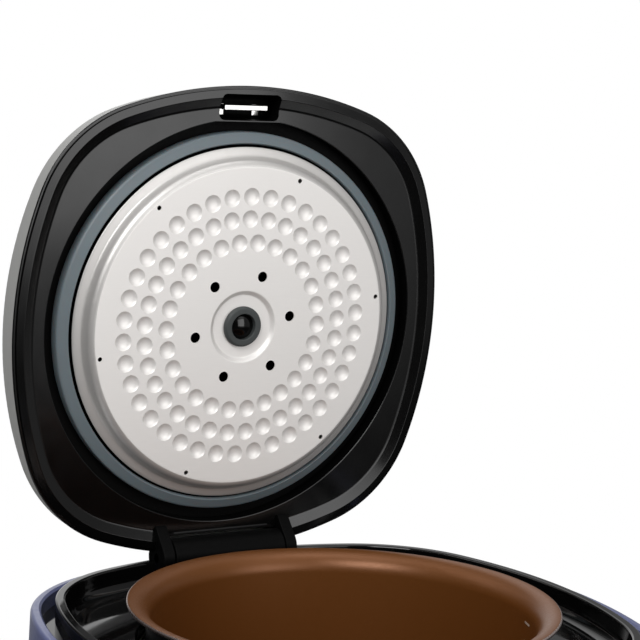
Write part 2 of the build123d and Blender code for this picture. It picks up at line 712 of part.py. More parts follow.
# Top frame: gutter, raised lip and trough round the pot, with a hinge gap and a slot for the latch hook
DECK_Z = SHELF_Z - DECK_THICKNESS
LIP_FOOT_Z = DECK_Z + LIP_EMBED
with BuildPart() as top_frame:
    with BuildSketch(Plane.XY.offset(DECK_Z)):
        make_face(outline(DECK_HALF))
    extrude(amount=DECK_THICKNESS)
    with BuildSketch(Plane.XZ) as lip:
        with BuildLine():
            Polyline(
                (LIP_OUTER_HALF, LIP_FOOT_Z),
                (LIP_OUTER_HALF, LIP_TOP_Z),
                (LIP_INNER_HALF, LIP_TOP_Z),
                (LIP_INNER_HALF - LIP_DRAFT, SHELF_Z),
                (LIP_INNER_HALF - LIP_DRAFT - TROUGH_ROUND, SHELF_Z),
                (LIP_INNER_HALF - LIP_DRAFT - TROUGH_ROUND, LIP_FOOT_Z),
                close=True,
            )
        make_face()
        fillet(lip.vertices().group_by(Axis.Y)[-1], LIP_ROUND)
        trough = lip.vertices().sort_by_distance((LIP_INNER_HALF - LIP_DRAFT, SHELF_Z))[0]
        fillet(trough, TROUGH_ROUND - LIP_EMBED)
    sweep(path=outline(LIP_OUTER_HALF).moved(Location((0, 0, LIP_FOOT_Z))))
    with BuildSketch(Plane.XY.offset(DECK_Z - COLLAR_DEPTH)):
        Circle(WELL_RADIUS + SHELL_WALL)
    extrude(amount=COLLAR_DEPTH)
    with BuildSketch(Plane.XY.offset(DECK_Z - COLLAR_DEPTH)):
        Circle(WELL_RADIUS)
    extrude(amount=OPEN_SPACE, mode=Mode.SUBTRACT)
    with BuildSketch(Plane.XY.offset(SHELF_Z)):
        with Locations((0, HINGE_Y)):
            Rectangle(2 * NOTCH_HALF, HINGE_GAP_DEPTH)
    extrude(amount=OPEN_SPACE, mode=Mode.SUBTRACT)
    with BuildSketch(Plane.XY.offset(DECK_Z)):
        with Locations((0, LATCH_Y + HOOK_SLOT_OFFSET)):
            Rectangle(2 * (HOOK_HALF + HOOK_PLAY), HOOK_SLOT)
    extrude(amount=OPEN_SPACE, mode=Mode.SUBTRACT)
    for start in (HOOK_HALF + HOOK_PLAY, -HOOK_HALF - HOOK_PLAY - EAR_THICKNESS):
        with BuildSketch(Plane.YZ.offset(start)):
            with Locations((LATCH_Y, LATCH_Z)):
                Rectangle(EAR_WIDTH, 2 * (DECK_Z - LATCH_Z))
                Circle(LATCH_PIN_RADIUS + PIN_PLAY, mode=Mode.SUBTRACT)
        extrude(amount=EAR_THICKNESS)
    with BuildSketch(Plane.XY.offset(SPRING_Z - SPRING_SEAT_DROP)):
        with Locations((0, SPRING_SEAT_Y)):
            Rectangle(SPRING_SEAT_WIDTH, EAR_THICKNESS)
    extrude(amount=DECK_Z - SPRING_Z + SPRING_SEAT_DROP)
finish(top_frame, "top_frame")

# Hinge: a block on the frame between the lid's ribs, a pin through all three, and two closed torsion springs
with BuildPart() as hinge_block:
    with BuildSketch(Plane.YZ.offset(-BARREL_HALF)):
        with Locations((HINGE_Y, HINGE_Z)):
            Circle(KNUCKLE_RADIUS)
        with Locations((HINGE_Y, (HINGE_Z + SHELF_Z) / 2)):
            Rectangle(2 * KNUCKLE_RADIUS, HINGE_Z - SHELF_Z)
        with Locations((HINGE_Y, HINGE_Z)):
            Circle(PIN_RADIUS + PIN_PLAY, mode=Mode.SUBTRACT)
    extrude(amount=2 * BARREL_HALF)
    for start in (-BARREL_HALF, BARREL_HALF - SPRING_LENGTH):
        with BuildSketch(Plane.YZ.offset(start)):
            with Locations((HINGE_Y, HINGE_Z)):
                Circle(SPRING_RADIUS + SPRING_PLAY)
        extrude(amount=SPRING_LENGTH, mode=Mode.SUBTRACT)
finish(hinge_block, "hinge_block")

with BuildPart() as hinge_pin:
    with BuildSketch(Plane.YZ.offset(-RIB_OUTER)):
        with Locations((HINGE_Y, HINGE_Z)):
            Circle(PIN_RADIUS)
    extrude(amount=2 * RIB_OUTER)
finish(hinge_pin, "hinge_pin")

with BuildPart() as hinge_springs:
    for start in (-BARREL_HALF, BARREL_HALF - SPRING_LENGTH):
        with BuildSketch(Plane.YZ.offset(start)):
            with Locations((HINGE_Y, HINGE_Z)):
                Circle(SPRING_RADIUS)
                Circle(SPRING_RADIUS - SPRING_WIRE, mode=Mode.SUBTRACT)
        extrude(amount=SPRING_LENGTH)
finish(hinge_springs, "hinge_springs")

# Latch hook: a lever on a pin under the frame, whose nose catches the striker when the lid is shut
with BuildPart() as latch_hook:
    with BuildSketch(Plane.YZ.offset(-HOOK_HALF)):
        Polygon(
            (LATCH_Y - ARM_OUTER, SPRING_Z - ARM_DROP),
            (LATCH_Y - ARM_INNER, SPRING_Z - ARM_DROP),
            (LATCH_Y - ARM_INNER, SPRING_Z + ARM_RISE),
            (LATCH_Y + HOOK_BOSS, LATCH_Z - HOOK_BOSS),
            (LATCH_Y + HOOK_INNER, LATCH_Z + SHANK_RISE),
            (LATCH_Y + HOOK_INNER, HOOK_NOSE_Z),
            (LATCH_Y + HOOK_NOSE, HOOK_NOSE_Z),
            (LATCH_Y + HOOK_NOSE, HOOK_NOSE_Z + NOSE_EDGE),
            (LATCH_Y + HOOK_INNER, HOOK_NOSE_Z + NOSE_HEIGHT),
            (LATCH_Y + HOOK_OUTER, HOOK_NOSE_Z + NOSE_HEIGHT),
            (LATCH_Y + HOOK_OUTER, LATCH_Z + SHANK_RISE),
            (LATCH_Y - HOOK_BOSS, LATCH_Z + HOOK_BOSS),
            align=None,
        )
        with Locations((LATCH_Y, LATCH_Z)):
            Circle(LATCH_PIN_RADIUS + PIN_PLAY, mode=Mode.SUBTRACT)
    extrude(amount=2 * HOOK_HALF)
finish(latch_hook, "latch_hook")

LATCH_PIN_HALF = HOOK_HALF + HOOK_PLAY + EAR_THICKNESS
with BuildPart() as latch_pin:
    with BuildSketch(Plane.YZ.offset(-LATCH_PIN_HALF)):
        with Locations((LATCH_Y, LATCH_Z)):
            Circle(LATCH_PIN_RADIUS)
    extrude(amount=2 * LATCH_PIN_HALF)
finish(latch_pin, "latch_pin")

SPRING_FRONT_Y = LATCH_Y - ARM_INNER + SPRING_PRELOAD
with BuildPart() as latch_spring:
    with BuildSketch(Plane.XZ.offset(-SPRING_FRONT_Y)):
        with Locations((0, SPRING_Z)):
            Circle(LATCH_SPRING_RADIUS)
            Circle(LATCH_SPRING_RADIUS - LATCH_SPRING_WIRE, mode=Mode.SUBTRACT)
    extrude(amount=SPRING_FRONT_Y - SPRING_SEAT_Y + EAR_THICKNESS / 2)
finish(latch_spring, "latch_spring")

# Open button: follows the front of the body and pushes the lower arm of the hook
with BuildPart() as open_button:
    add(front_band(OPENER_LOW, OPENER_HIGH, OPENER_ANGLE, -OPENER_DEPTH, OPENER_PROUD))
    with BuildSketch(Plane.XZ.offset(-LATCH_Y + PLUNGER_GAP)):
        with Locations((0, SPRING_Z - PLUNGER_DROP)):
            Rectangle(PLUNGER_WIDTH, PLUNGER_HEIGHT)
    extrude(amount=flank(SPRING_Z, -OPENER_DEPTH / 2) + LATCH_Y - PLUNGER_GAP)
finish(open_button, "open_button")

# Pot: drawn bowl with a broad flared rim
with BuildPart() as inner_pot:
    with BuildSketch(Plane.XZ):
        with BuildLine():
            pot_floor = Line((0, POT_FLOOR_Z), (POT_RADIUS - POT_CORNER, POT_FLOOR_Z))
            heel = TangentArc(pot_floor @ 1, (POT_RADIUS, POT_FLOOR_Z + POT_CORNER), tangent=(1, 0))
            side = Line(heel @ 1, (POT_RADIUS, RIM_Z - POT_FLARE))
            roll_radius = POT_RIM_RADIUS - POT_WALL / 2
            roll_edge = (POT_RIM_RADIUS, RIM_Z - POT_WALL / 2)
            flare = TangentArc(side @ 1, (roll_radius, RIM_Z - POT_WALL), tangent=(0, 1))
            roll = ThreePointArc(flare @ 1, roll_edge, (roll_radius, RIM_Z))
            flare_in = TangentArc((POT_RADIUS - POT_WALL, RIM_Z - POT_FLARE), roll @ 1, tangent=(0, 1))
            side_in = Line(flare_in @ 0, (POT_RADIUS - POT_WALL, POT_FLOOR_Z + POT_CORNER))
            heel_end = (POT_RADIUS - POT_CORNER, POT_FLOOR_Z + POT_WALL)
            heel_in = TangentArc(side_in @ 1, heel_end, tangent=(0, -1))
            Polyline(heel_in @ 1, (0, POT_FLOOR_Z + POT_WALL), (0, POT_FLOOR_Z))
        make_face()
    revolve(axis=Axis.Z)
finish(inner_pot, "inner_pot")

# Inner shell: pressed cup that carries the heater and shields the body from the pot
with BuildPart() as inner_shell:
    with BuildSketch(Plane.XZ):
        with BuildLine():
            floor_end = (INNER_SHELL_RADIUS - INNER_SHELL_HEEL, INNER_SHELL_FLOOR)
            side_start = (INNER_SHELL_RADIUS, INNER_SHELL_FLOOR + INNER_SHELL_HEEL)
            Line((SENSOR_WIRE_HOLE, INNER_SHELL_FLOOR), floor_end)
            TangentArc(floor_end, side_start, tangent=(1, 0))
            Line(side_start, (INNER_SHELL_RADIUS, INNER_SHELL_TOP))
            offset(amount=SHEET, side=Side.RIGHT)
        make_face()
    revolve(axis=Axis.Z)
    with BuildSketch(Plane.XY.offset(INNER_SHELL_FLOOR - 2 * SHEET)):
        with PolarLocations(POST_CIRCLE, POST_COUNT, start_angle=90):
            Circle(SCREW_SHANK + SCREW_PLAY)
    extrude(amount=4 * SHEET, mode=Mode.SUBTRACT)
finish(inner_shell, "inner_shell")

with BuildPart() as inner_shell_screws:
    with PolarLocations(POST_CIRCLE, POST_COUNT, start_angle=90):
        with Locations((0, 0, INNER_SHELL_FLOOR)):
            Cylinder(SCREW_HEAD, SCREW_HEAD_HEIGHT, align=CENTRED_ABOVE)
            Cylinder(SCREW_SHANK, SCREW_LENGTH, align=CENTRED_BELOW)
finish(inner_shell_screws, "inner_shell_screws")

# Heating plate: cast disc with the heating element in a raised ring underneath, on three legs
with BuildPart() as heating_plate:
    with BuildSketch(Plane.XZ):
        with BuildLine():
            Polyline(
                (HEATER_EYE, POT_FLOOR_Z - HEATER_THICKNESS),
                (HEATER_EYE, POT_FLOOR_Z),
                (HEATER_RADIUS - HEATER_CHAMFER, POT_FLOOR_Z),
                (HEATER_RADIUS, POT_FLOOR_Z - HEATER_CHAMFER),
                (HEATER_RADIUS, POT_FLOOR_Z - HEATER_THICKNESS),
                (ELEMENT_CIRCLE + ELEMENT_RADIUS, POT_FLOOR_Z - HEATER_THICKNESS),
            )
            ThreePointArc(
                (ELEMENT_CIRCLE + ELEMENT_RADIUS, POT_FLOOR_Z - HEATER_THICKNESS),
                (ELEMENT_CIRCLE, POT_FLOOR_Z - HEATER_THICKNESS - ELEMENT_RADIUS),
                (ELEMENT_CIRCLE - ELEMENT_RADIUS, POT_FLOOR_Z - HEATER_THICKNESS),
            )
            Line(
                (ELEMENT_CIRCLE - ELEMENT_RADIUS, POT_FLOOR_Z - HEATER_THICKNESS),
                (HEATER_EYE, POT_FLOOR_Z - HEATER_THICKNESS),
            )
        make_face()
    revolve(axis=Axis.Z)
    with BuildSketch(Plane.XY.offset(INNER_SHELL_FLOOR)):
        with PolarLocations(HEATER_LEG_CIRCLE, POST_COUNT, start_angle=30):
            Circle(HEATER_LEG_RADIUS)
    extrude(amount=POT_FLOOR_Z - HEATER_THICKNESS - INNER_SHELL_FLOOR + 1)
finish(heating_plate, "heating_plate")

with BuildPart() as heater_terminals:
    with BuildSketch(Plane.XY.offset(POT_FLOOR_Z - HEATER_THICKNESS - ELEMENT_RADIUS)):
        with Locations((TERMINAL_OFFSET, -ELEMENT_CIRCLE), (-TERMINAL_OFFSET, -ELEMENT_CIRCLE)):
            Circle(TERMINAL_RADIUS)
    extrude(amount=-TERMINAL_LENGTH)
finish(heater_terminals, "heater_terminals")

# Temperature sensor: a sprung cup that presses on the floor of the pot, inside a fixed guide
with BuildPart() as sensor_cup:
    with BuildSketch(Plane.XZ):
        with BuildLine():
            cup_skirt = Polyline(
                (SENSOR_RADIUS - SHEET, SENSOR_FOOT_Z),
                (SENSOR_RADIUS, SENSOR_FOOT_Z),
                (SENSOR_RADIUS, SENSOR_TOP_Z - SENSOR_ROUND),
            )
            round_end = (SENSOR_RADIUS - SENSOR_ROUND, SENSOR_TOP_Z)
            cup_round = TangentArc(cup_skirt @ 1, round_end, tangent=(0, 1))
            Polyline(
                cup_round @ 1,
                (0, SENSOR_TOP_Z),
                (0, SENSOR_TOP_Z - 2 * SHEET),
                (SENSOR_RADIUS - SHEET, SENSOR_TOP_Z - 2 * SHEET),
                cup_skirt @ 0,
            )
        make_face()
    revolve(axis=Axis.Z)
finish(sensor_cup, "sensor_cup")

with BuildPart() as sensor_guide:
    with BuildSketch(Plane.XY.offset(INNER_SHELL_FLOOR)):
        Circle(SENSOR_RADIUS + SENSOR_PLAY + GUIDE_WALL)
        Circle(SENSOR_RADIUS + SENSOR_PLAY, mode=Mode.SUBTRACT)
    extrude(amount=GUIDE_HEIGHT)
finish(sensor_guide, "sensor_guide")

with BuildPart() as sensor_spring:
    with BuildSketch(Plane.XY.offset(INNER_SHELL_FLOOR)):
        Circle(SENSOR_SPRING_RADIUS)
        Circle(SENSOR_SPRING_RADIUS - SENSOR_SPRING_WIRE, mode=Mode.SUBTRACT)
    extrude(amount=SENSOR_TOP_Z - 2 * SHEET - INNER_SHELL_FLOOR)
finish(sensor_spring, "sensor_spring")

# Base: tray with vent slots, an upstand inside the shell, posts for the inner shell and board stand-offs
with BuildPart() as base_cover:
    with BuildSketch(Plane.XY.offset(BASE_LOW)):
        make_face(outline(BASE_HALF))
    extrude(amount=SHELL_BASE_Z - BASE_LOW)
    fillet(base_cover.faces().sort_by(Axis.Z)[0].edges(), BASE_ROUND)
    with BuildSketch(Plane.XY.offset(SHELL_BASE_Z)):
        make_face(outline(UPSTAND_HALF))
        make_face(outline(UPSTAND_HALF - UPSTAND_WALL), mode=Mode.SUBTRACT)
    extrude(amount=UPSTAND_HEIGHT)
    with BuildSketch(Plane.XY.offset(SHELL_BASE_Z)):
        with PolarLocations(POST_CIRCLE, POST_COUNT, start_angle=90):
            Circle(PILLAR_RADIUS)
            Circle(SCREW_SHANK + THREAD_PLAY, mode=Mode.SUBTRACT)
    extrude(amount=INNER_SHELL_FLOOR - SHEET - SHELL_BASE_Z)
    with BuildSketch(Plane.XY.offset(SHELL_BASE_Z)):
        with Locations((0, POWER_BOARD_Y)):
            inset = 2 * STANDOFF_INSET
            with GridLocations(POWER_BOARD_WIDTH - inset, POWER_BOARD_DEPTH - inset, 2, 2):
                Circle(STANDOFF_RADIUS)
    extrude(amount=POWER_BOARD_Z - SHELL_BASE_Z)
    with BuildSketch(Plane.XY.offset(BASE_LOW)):
        with GridLocations(*VENT_SLOT_PITCH, 3, 6):
            SlotOverall(VENT_SLOT_LENGTH, VENT_SLOT_WIDTH)
        with GridLocations(2 * FOOT_SPREAD, 2 * FOOT_SPREAD, 2, 2):
            Circle(FOOT_STEM + 2 * THREAD_PLAY)
    extrude(amount=SHELL_BASE_Z - BASE_LOW, mode=Mode.SUBTRACT)
finish(base_cover, "base_cover")

with BuildPart() as feet:
    with GridLocations(2 * FOOT_SPREAD, 2 * FOOT_SPREAD, 2, 2):
        Cone(FOOT_RADIUS - FOOT_TAPER, FOOT_RADIUS, BASE_LOW, align=CENTRED_ABOVE)
        with Locations((0, 0, BASE_LOW)):
            Cylinder(FOOT_STEM, SHELL_BASE_Z - BASE_LOW + FOOT_STEM_REACH, align=CENTRED_ABOVE)
finish(feet, "feet")

# Control panel: gloss fascia in a window of the shell, with a display lens and four push buttons
BUTTON_NAMES = ["start_button", "cancel_button", "menu_button", "timer_button"]
BUTTON_XS = [(place - 1.5) * BUTTON_PITCH for place in range(len(BUTTON_NAMES))]
with BuildPart() as control_panel:
    add(front_band(PANEL_LOW, PANEL_HIGH, PANEL_ANGLE, 0, PANEL_PROUD))
    plug_low = PANEL_LOW + WINDOW_MARGIN + PLUG_PLAY
    plug_high = PANEL_HIGH - WINDOW_MARGIN - PLUG_PLAY
    add(front_band(plug_low, plug_high, PLUG_ANGLE, -PANEL_PLUG, 0))
    for x in (-BOSS_X, BOSS_X):
        for z in (PANEL_LOW + BOSS_INSET, PANEL_HIGH - BOSS_INSET):
            with BuildSketch(Plane.XZ.offset(-BOARD_Y)):
                with Locations((x, z)):
                    Circle(BOSS_RADIUS)
            extrude(amount=BOARD_Y - front_y(x, z, -PANEL_PLUG / 4))
    add(
        front_band(
            LENS_LOW - LENS_PLAY,
            LENS_HIGH + LENS_PLAY,
            LENS_ANGLE + LENS_PLAY_ANGLE,
            -2 * PANEL_PLUG,
            2 * PANEL_PLUG,
        ),
        mode=Mode.SUBTRACT,
    )
    with BuildSketch(Plane.XZ.offset(-BOARD_Y)):
        with Locations(*[(x, BUTTON_Z) for x in BUTTON_XS]):
            Circle(BUTTON_RADIUS + BUTTON_PLAY)
    extrude(amount=OPEN_SPACE, mode=Mode.SUBTRACT)
finish(control_panel, "control_panel")

with BuildPart() as display_lens:
    add(front_band(LENS_LOW, LENS_HIGH, LENS_ANGLE, -PANEL_PLUG, PANEL_PROUD - LENS_SUNK))
finish(display_lens, "display_lens")

for button_name, x in zip(BUTTON_NAMES, BUTTON_XS):
    button_face = -front_y(x, BUTTON_Z, PANEL_PROUD + BUTTON_PROUD)
    flange_face = -front_y(x, BUTTON_Z, -PANEL_PLUG) - BUTTON_FLANGE_GAP
    stem_end = -BOARD_Y + BUTTON_TRAVEL
    sections = [
        (stem_end, flange_face, BUTTON_STEM),
        (flange_face - BUTTON_FLANGE_SHEET, flange_face, BUTTON_RADIUS + BUTTON_FLANGE),
        (flange_face, button_face, BUTTON_RADIUS),
    ]
    with BuildPart() as button:
        for back, front, radius in sections:
            with BuildSketch(Plane.XZ.offset(back)):
                with Locations((x, BUTTON_Z)):
                    Circle(radius)
            extrude(amount=front - back)
        fillet(button.faces().sort_by(Axis.Y)[0].edges(), BUTTON_ROUND)
    finish(button, button_name)

with BuildPart() as control_board:
    with BuildSketch(Plane.XZ.offset(-BOARD_Y - BOARD_THICKNESS)):
        with Locations((0, (PANEL_LOW + PANEL_HIGH) / 2)):
            Rectangle(2 * (BOSS_X + BOARD_EDGE), PANEL_HIGH - PANEL_LOW - 2 * BOARD_EDGE)
    extrude(amount=BOARD_THICKNESS)
finish(control_board, "control_board")

# Power board: circuit board with its relay, transformer and capacitor
with BuildPart() as power_board:
    with BuildSketch(Plane.XY.offset(POWER_BOARD_Z)):
        with Locations((0, POWER_BOARD_Y)):
            Rectangle(POWER_BOARD_WIDTH, POWER_BOARD_DEPTH)
    extrude(amount=BOARD_THICKNESS)
    with BuildSketch(Plane.XY.offset(POWER_BOARD_Z + BOARD_THICKNESS)):
        for x, y, width, depth in (TRANSFORMER, RELAY):
            with Locations((x, POWER_BOARD_Y + y)):
                Rectangle(width, depth)
        with Locations((CAPACITOR_X, POWER_BOARD_Y)):
            Circle(CAPACITOR_RADIUS)
    extrude(amount=COMPONENT_HEIGHT)
finish(power_board, "power_board")

# Power inlet: recessed three-pin socket in a flange on the rear of the shell
INLET_FACE_Y = flank(INLET_Z) + INLET_PROUD
with BuildPart() as power_inlet:
    with BuildSketch(Plane.XZ.offset(-INLET_FACE_Y)):
        with Locations((0, INLET_Z)):
            RectangleRounded(INLET_WIDTH + INLET_RIM, INLET_HEIGHT + INLET_RIM, INLET_ROUND)
    extrude(amount=INLET_FLANGE)
    with BuildSketch(Plane.XZ.offset(-INLET_FACE_Y + INLET_FLANGE)):
        with Locations((0, INLET_Z)):
            Rectangle(INLET_WIDTH, INLET_HEIGHT)
    extrude(amount=INLET_DEPTH - INLET_FLANGE)
    with BuildSketch(Plane.XZ.offset(-INLET_FACE_Y)):
        with Locations((0, INLET_Z)):
            RectangleRounded(SOCKET_WIDTH, SOCKET_HEIGHT, INLET_ROUND)
    extrude(amount=INLET_DEPTH - INLET_WALL, mode=Mode.SUBTRACT)
finish(power_inlet, "power_inlet")

with BuildPart() as inlet_pins:
    with BuildSketch(Plane.XZ.offset(-INLET_FACE_Y + INLET_DEPTH - INLET_WALL)):
        for x, z in ((-INLET_PIN_X, -INLET_PIN_Z), (0, INLET_PIN_Z), (INLET_PIN_X, -INLET_PIN_Z)):
            with Locations((x, INLET_Z + z)):
                Rectangle(INLET_PIN_WIDTH, INLET_PIN_HEIGHT)
    extrude(amount=-INLET_PIN_REACH)
finish(inlet_pins, "inlet_pins")
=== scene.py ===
import json
from math import acos, atan2, cos, pi, radians, sin, sqrt

import bmesh
import bpy
from bpy.props import FloatProperty, FloatVectorProperty, PointerProperty
from mathutils import Matrix, Quaternion, Vector


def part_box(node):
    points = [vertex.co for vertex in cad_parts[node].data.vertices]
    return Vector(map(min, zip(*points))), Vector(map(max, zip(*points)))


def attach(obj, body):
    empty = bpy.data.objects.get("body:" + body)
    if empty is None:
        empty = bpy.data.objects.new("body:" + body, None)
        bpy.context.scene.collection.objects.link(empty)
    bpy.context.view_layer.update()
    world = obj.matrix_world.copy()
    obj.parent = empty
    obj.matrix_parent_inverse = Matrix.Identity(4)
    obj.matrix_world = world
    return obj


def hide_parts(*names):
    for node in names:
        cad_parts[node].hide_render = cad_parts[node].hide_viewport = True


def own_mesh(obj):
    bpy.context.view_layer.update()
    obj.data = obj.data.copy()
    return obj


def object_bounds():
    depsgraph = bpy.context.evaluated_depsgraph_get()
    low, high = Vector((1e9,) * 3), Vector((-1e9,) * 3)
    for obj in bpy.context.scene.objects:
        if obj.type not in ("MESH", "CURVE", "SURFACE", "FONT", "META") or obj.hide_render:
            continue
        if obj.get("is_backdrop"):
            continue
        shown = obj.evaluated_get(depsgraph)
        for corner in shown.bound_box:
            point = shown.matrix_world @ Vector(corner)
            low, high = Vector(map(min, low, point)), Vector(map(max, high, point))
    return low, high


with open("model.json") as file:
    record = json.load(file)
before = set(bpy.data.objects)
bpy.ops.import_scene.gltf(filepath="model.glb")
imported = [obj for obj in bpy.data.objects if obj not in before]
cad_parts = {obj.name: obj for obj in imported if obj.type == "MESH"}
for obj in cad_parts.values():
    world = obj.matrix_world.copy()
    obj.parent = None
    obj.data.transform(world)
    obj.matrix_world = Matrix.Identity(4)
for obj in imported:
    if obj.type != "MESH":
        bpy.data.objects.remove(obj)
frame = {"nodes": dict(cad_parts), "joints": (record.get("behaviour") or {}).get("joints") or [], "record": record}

bl_info = {
    "name": "Rice Cooker",
    "version": (1, 0, 0),
    "blender": (4, 5, 0),
    "location": "View3D > Sidebar > Cooker",
    "description": "Models the visible pieces of an open rice cooker around its CAD frame",
    "category": "Add Mesh",
}

CAD_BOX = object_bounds()
JOINTS = {joint["name"]: joint for joint in frame["joints"]}

# Points round each piece, and steps along the curves of its profile
SEGMENTS = 224
PLATE_SEGMENTS = 288
GROMMET_SEGMENTS = 128
POST_SEGMENTS = 96
FLOOR_SEGMENTS = 96
HOLE_SEGMENTS = 40
BARREL_STEPS = 24
FLANK_STEPS = 14
CORNER_STEPS = 10
LIP_STEPS = 8
SHOULDER_STEPS = 6
EDGE_STEPS = 5
FINE_STEPS = 4

# A loop as small as POLE is merged into one point, and a cutting tool runs past what it cuts by OVERRUN.
# An angle named SHARP, in degrees, is the least that counts as an edge
POLE = 1e-7
MERGE_GAP = 1e-6
OVERRUN = 0.01
FINE_ROUND = 0.0005

# Plan outline of the body and lid, in metres: shallow side arcs that run into corner arcs
PLAN_HALF = 0.144
SIDE_RADIUS = 0.250
CORNER_RADIUS = 0.080
SIDE_CENTRE = SIDE_RADIUS - PLAN_HALF
ARC_GAP = SIDE_RADIUS - CORNER_RADIUS
CORNER_CENTRE = (sqrt(2 * ARC_GAP**2 - SIDE_CENTRE**2) - SIDE_CENTRE) / 2
SIDE_TURN = atan2(CORNER_CENTRE, CORNER_CENTRE + SIDE_CENTRE)

# Body
RIM_Z = 0.195
SHELL_BASE_Z = 0.010
SHELL_TOP_Z = 0.183
SHOULDER_Z = 0.1805
SHELF_Z = 0.174
SHELL_WALL = 0.0025
BULGE_HALF = 0.1645
BULGE_Z = 0.150
FLANK_RADIUS = 0.7327
RIM_OUTER_HALF = 0.1614
RIM_INNER_HALF = 0.158
RIM_CHAMFER = 0.0012
DECK_Z = 0.170
WELL_RADIUS = 0.1138
COLLAR_Z = 0.158
LIP_OUTER_HALF = 0.1502
LIP_INNER_HALF = 0.1444
LIP_TOP_Z = 0.1885
LIP_ROUND = 0.0014
LIP_DRAFT = 0.0006
TROUGH_ROUND = 0.009
DECK_HALF = 0.161
HINGE_GAP = 0.018
# The slot for the latch hook, as two corners, and windows in the shell, as half width, low and high edge
HOOK_SLOT = [(-0.006, -0.145, 0.160), (0.006, -0.129, 0.210)]
PANEL_WINDOW = (0.058, 0.050, 0.127)
OPENER_WINDOW = (0.0239, 0.1392, 0.1588)
INLET_WINDOW = (0.0193, 0.0217, 0.0543)
INLET_ROUND = 0.0033
WINDOW_DEPTH = 0.13

# Hinge, and the lid's own frame: u across, v up the open lid, w out of its inner face
HINGE = Vector(JOINTS["lid_hinge"]["pos_m"])
OPEN_ANGLE = radians(-JOINTS["lid_hinge"]["range_deg"][0])
FACE_DROP = 0.011
KNUCKLE_RADIUS = 0.0112
KNUCKLE_PLAY = 0.0006
# The stretch of a lid rib's outline that goes round the hinge pin, in degrees
RIB_TURN = (50, 270)
BARREL_HALF = 0.0376
RIB_INNER = 0.0384
RIB_OUTER = 0.046
NOTCH_HALF = 0.0478
LID_UP = Vector((0, -cos(OPEN_ANGLE), sin(OPEN_ANGLE)))
LID_OUT = Vector((0, -sin(OPEN_ANGLE), -cos(OPEN_ANGLE)))
HINGE_DEPTH = RIM_Z - FACE_DROP - HINGE.z
LID_ORIGIN = HINGE + LID_UP * HINGE.y - LID_OUT * HINGE_DEPTH
LID = Matrix.Translation(LID_ORIGIN) @ Matrix((Vector((1, 0, 0)), LID_UP, LID_OUT)).transposed().to_4x4()

# Lid
LID_HALF = 0.1435
COVER_EDGE = -0.0095
RIM_EDGE = -0.0089
RIM_STEP = 0.0011
# The groove in the rim: its two walls, top and foot of each, in edge roundings from the outside
RIM_GROOVE = (2.0, 2.3, 3.2, 3.5)
CREST = -0.007
CREST_HALF = 0.1371
CREST_ROUND = 0.001
CREST_TURN = (73, 116)
BAND = -0.0098
BAND_HALF = 0.131
BAND_ROUND = 0.004
BAND_TURN = (-64, -90)
LINER_BACK = -0.0136
LINER_INNER_HALF = 0.1394
RECESS_RADIUS = 0.1236
RECESS_FLOOR = -0.0188
PAN_RADIUS = 0.1262
PAN_BACK = -0.0212
POCKET_V = 0.1307
POCKET_WIDTH = 0.040
POCKET_HEIGHT = 0.0158
POCKET_FLOOR = -0.026
POCKET_WALL = 0.002
POCKET_ROUND = 0.0035
POCKET_BEND = -0.0156
POCKET_LEAN = 0.0019
# The pocket's housing stops this far below the band, so that no two faces coincide
HOUSING_DROP = 0.00002
RIB_RISE = 0.0008
SLIT_HALF = 0.033
SLIT_V = 0.1282
SLIT_SIZE = 0.0012

# Inner lid plate
PLATE_FACE_RADIUS = 0.096
PLATE_RIM_RADIUS = 0.1074
PLATE_RIM_DEPTH = -0.0081
HUB_RADIUS = 0.0222
HUB_STEP = 0.0032
HUB_STEPS = 8
HUB_DEPTH = 0.0022
EYE_RADIUS = 0.0094
SHOULDER_ROUND = 0.0048
SHOULDER_TURN = (90, 15)
# From the plate's shoulder out to its edge, as radius and depth
PLATE_RIM = [
    (0.1016, -0.0060),
    (0.1024, -0.0069),
    (0.1040, -0.0074),
    (0.1060, -0.0078),
    (PLATE_RIM_RADIUS, -0.0084),
]
PLATE_RIM_SHEET = 0.001
PLATE_BACK = 0.0032
PLATE_BACK_BEND = 0.004
HUB_BACK_BEND = 0.001
PLATE_SHARP = 24
# The rim's copy of the plate finish starts here, just past the flat face; its darker colour is painted shade
RIM_SHADE_RADIUS = 0.0967
DIMPLE_RINGS = [(0.0512, 26, 90 + 180 / 26), (0.0654, 33, 90), (0.0788, 38, 90)]
# A dimple is flat in the middle and steep at its edge: its radius as shares, and the power of its depth
DIMPLE_SHARES = [0.06, 0.3, 0.5, 0.64, 0.76, 0.86, 0.94, 1.0, 1.06]
DIMPLE_POWER = 3
HOLE_START = 9.9
HOLE_COUNT = 6
SMALL_HOLE = (0.094, 0.0014)
LARGE_HOLE = (0.0322, 0.0032)
# Behind a hole the plate is thinned to a sheet, this far round the hole
HOLE_RELIEF = 0.002
HOLE_SHEET = 0.0007

# Gasket: a lip that rises from its inner edge to a toe, falls to a shoulder, and stands on a neck
GASKET_INNER = 0.1088
GASKET_LIP = (-0.0118, -0.0100)
GASKET_TOE = (0.1096, -0.0082)
GASKET_SHOULDER = (0.1152, -0.0108)
GASKET_OUTER = (0.1160, -0.0117)
GASKET_NECK = (0.1125, -0.0150)
GASKET_ROUND = 0.0006
GASKET_SHARP = 20

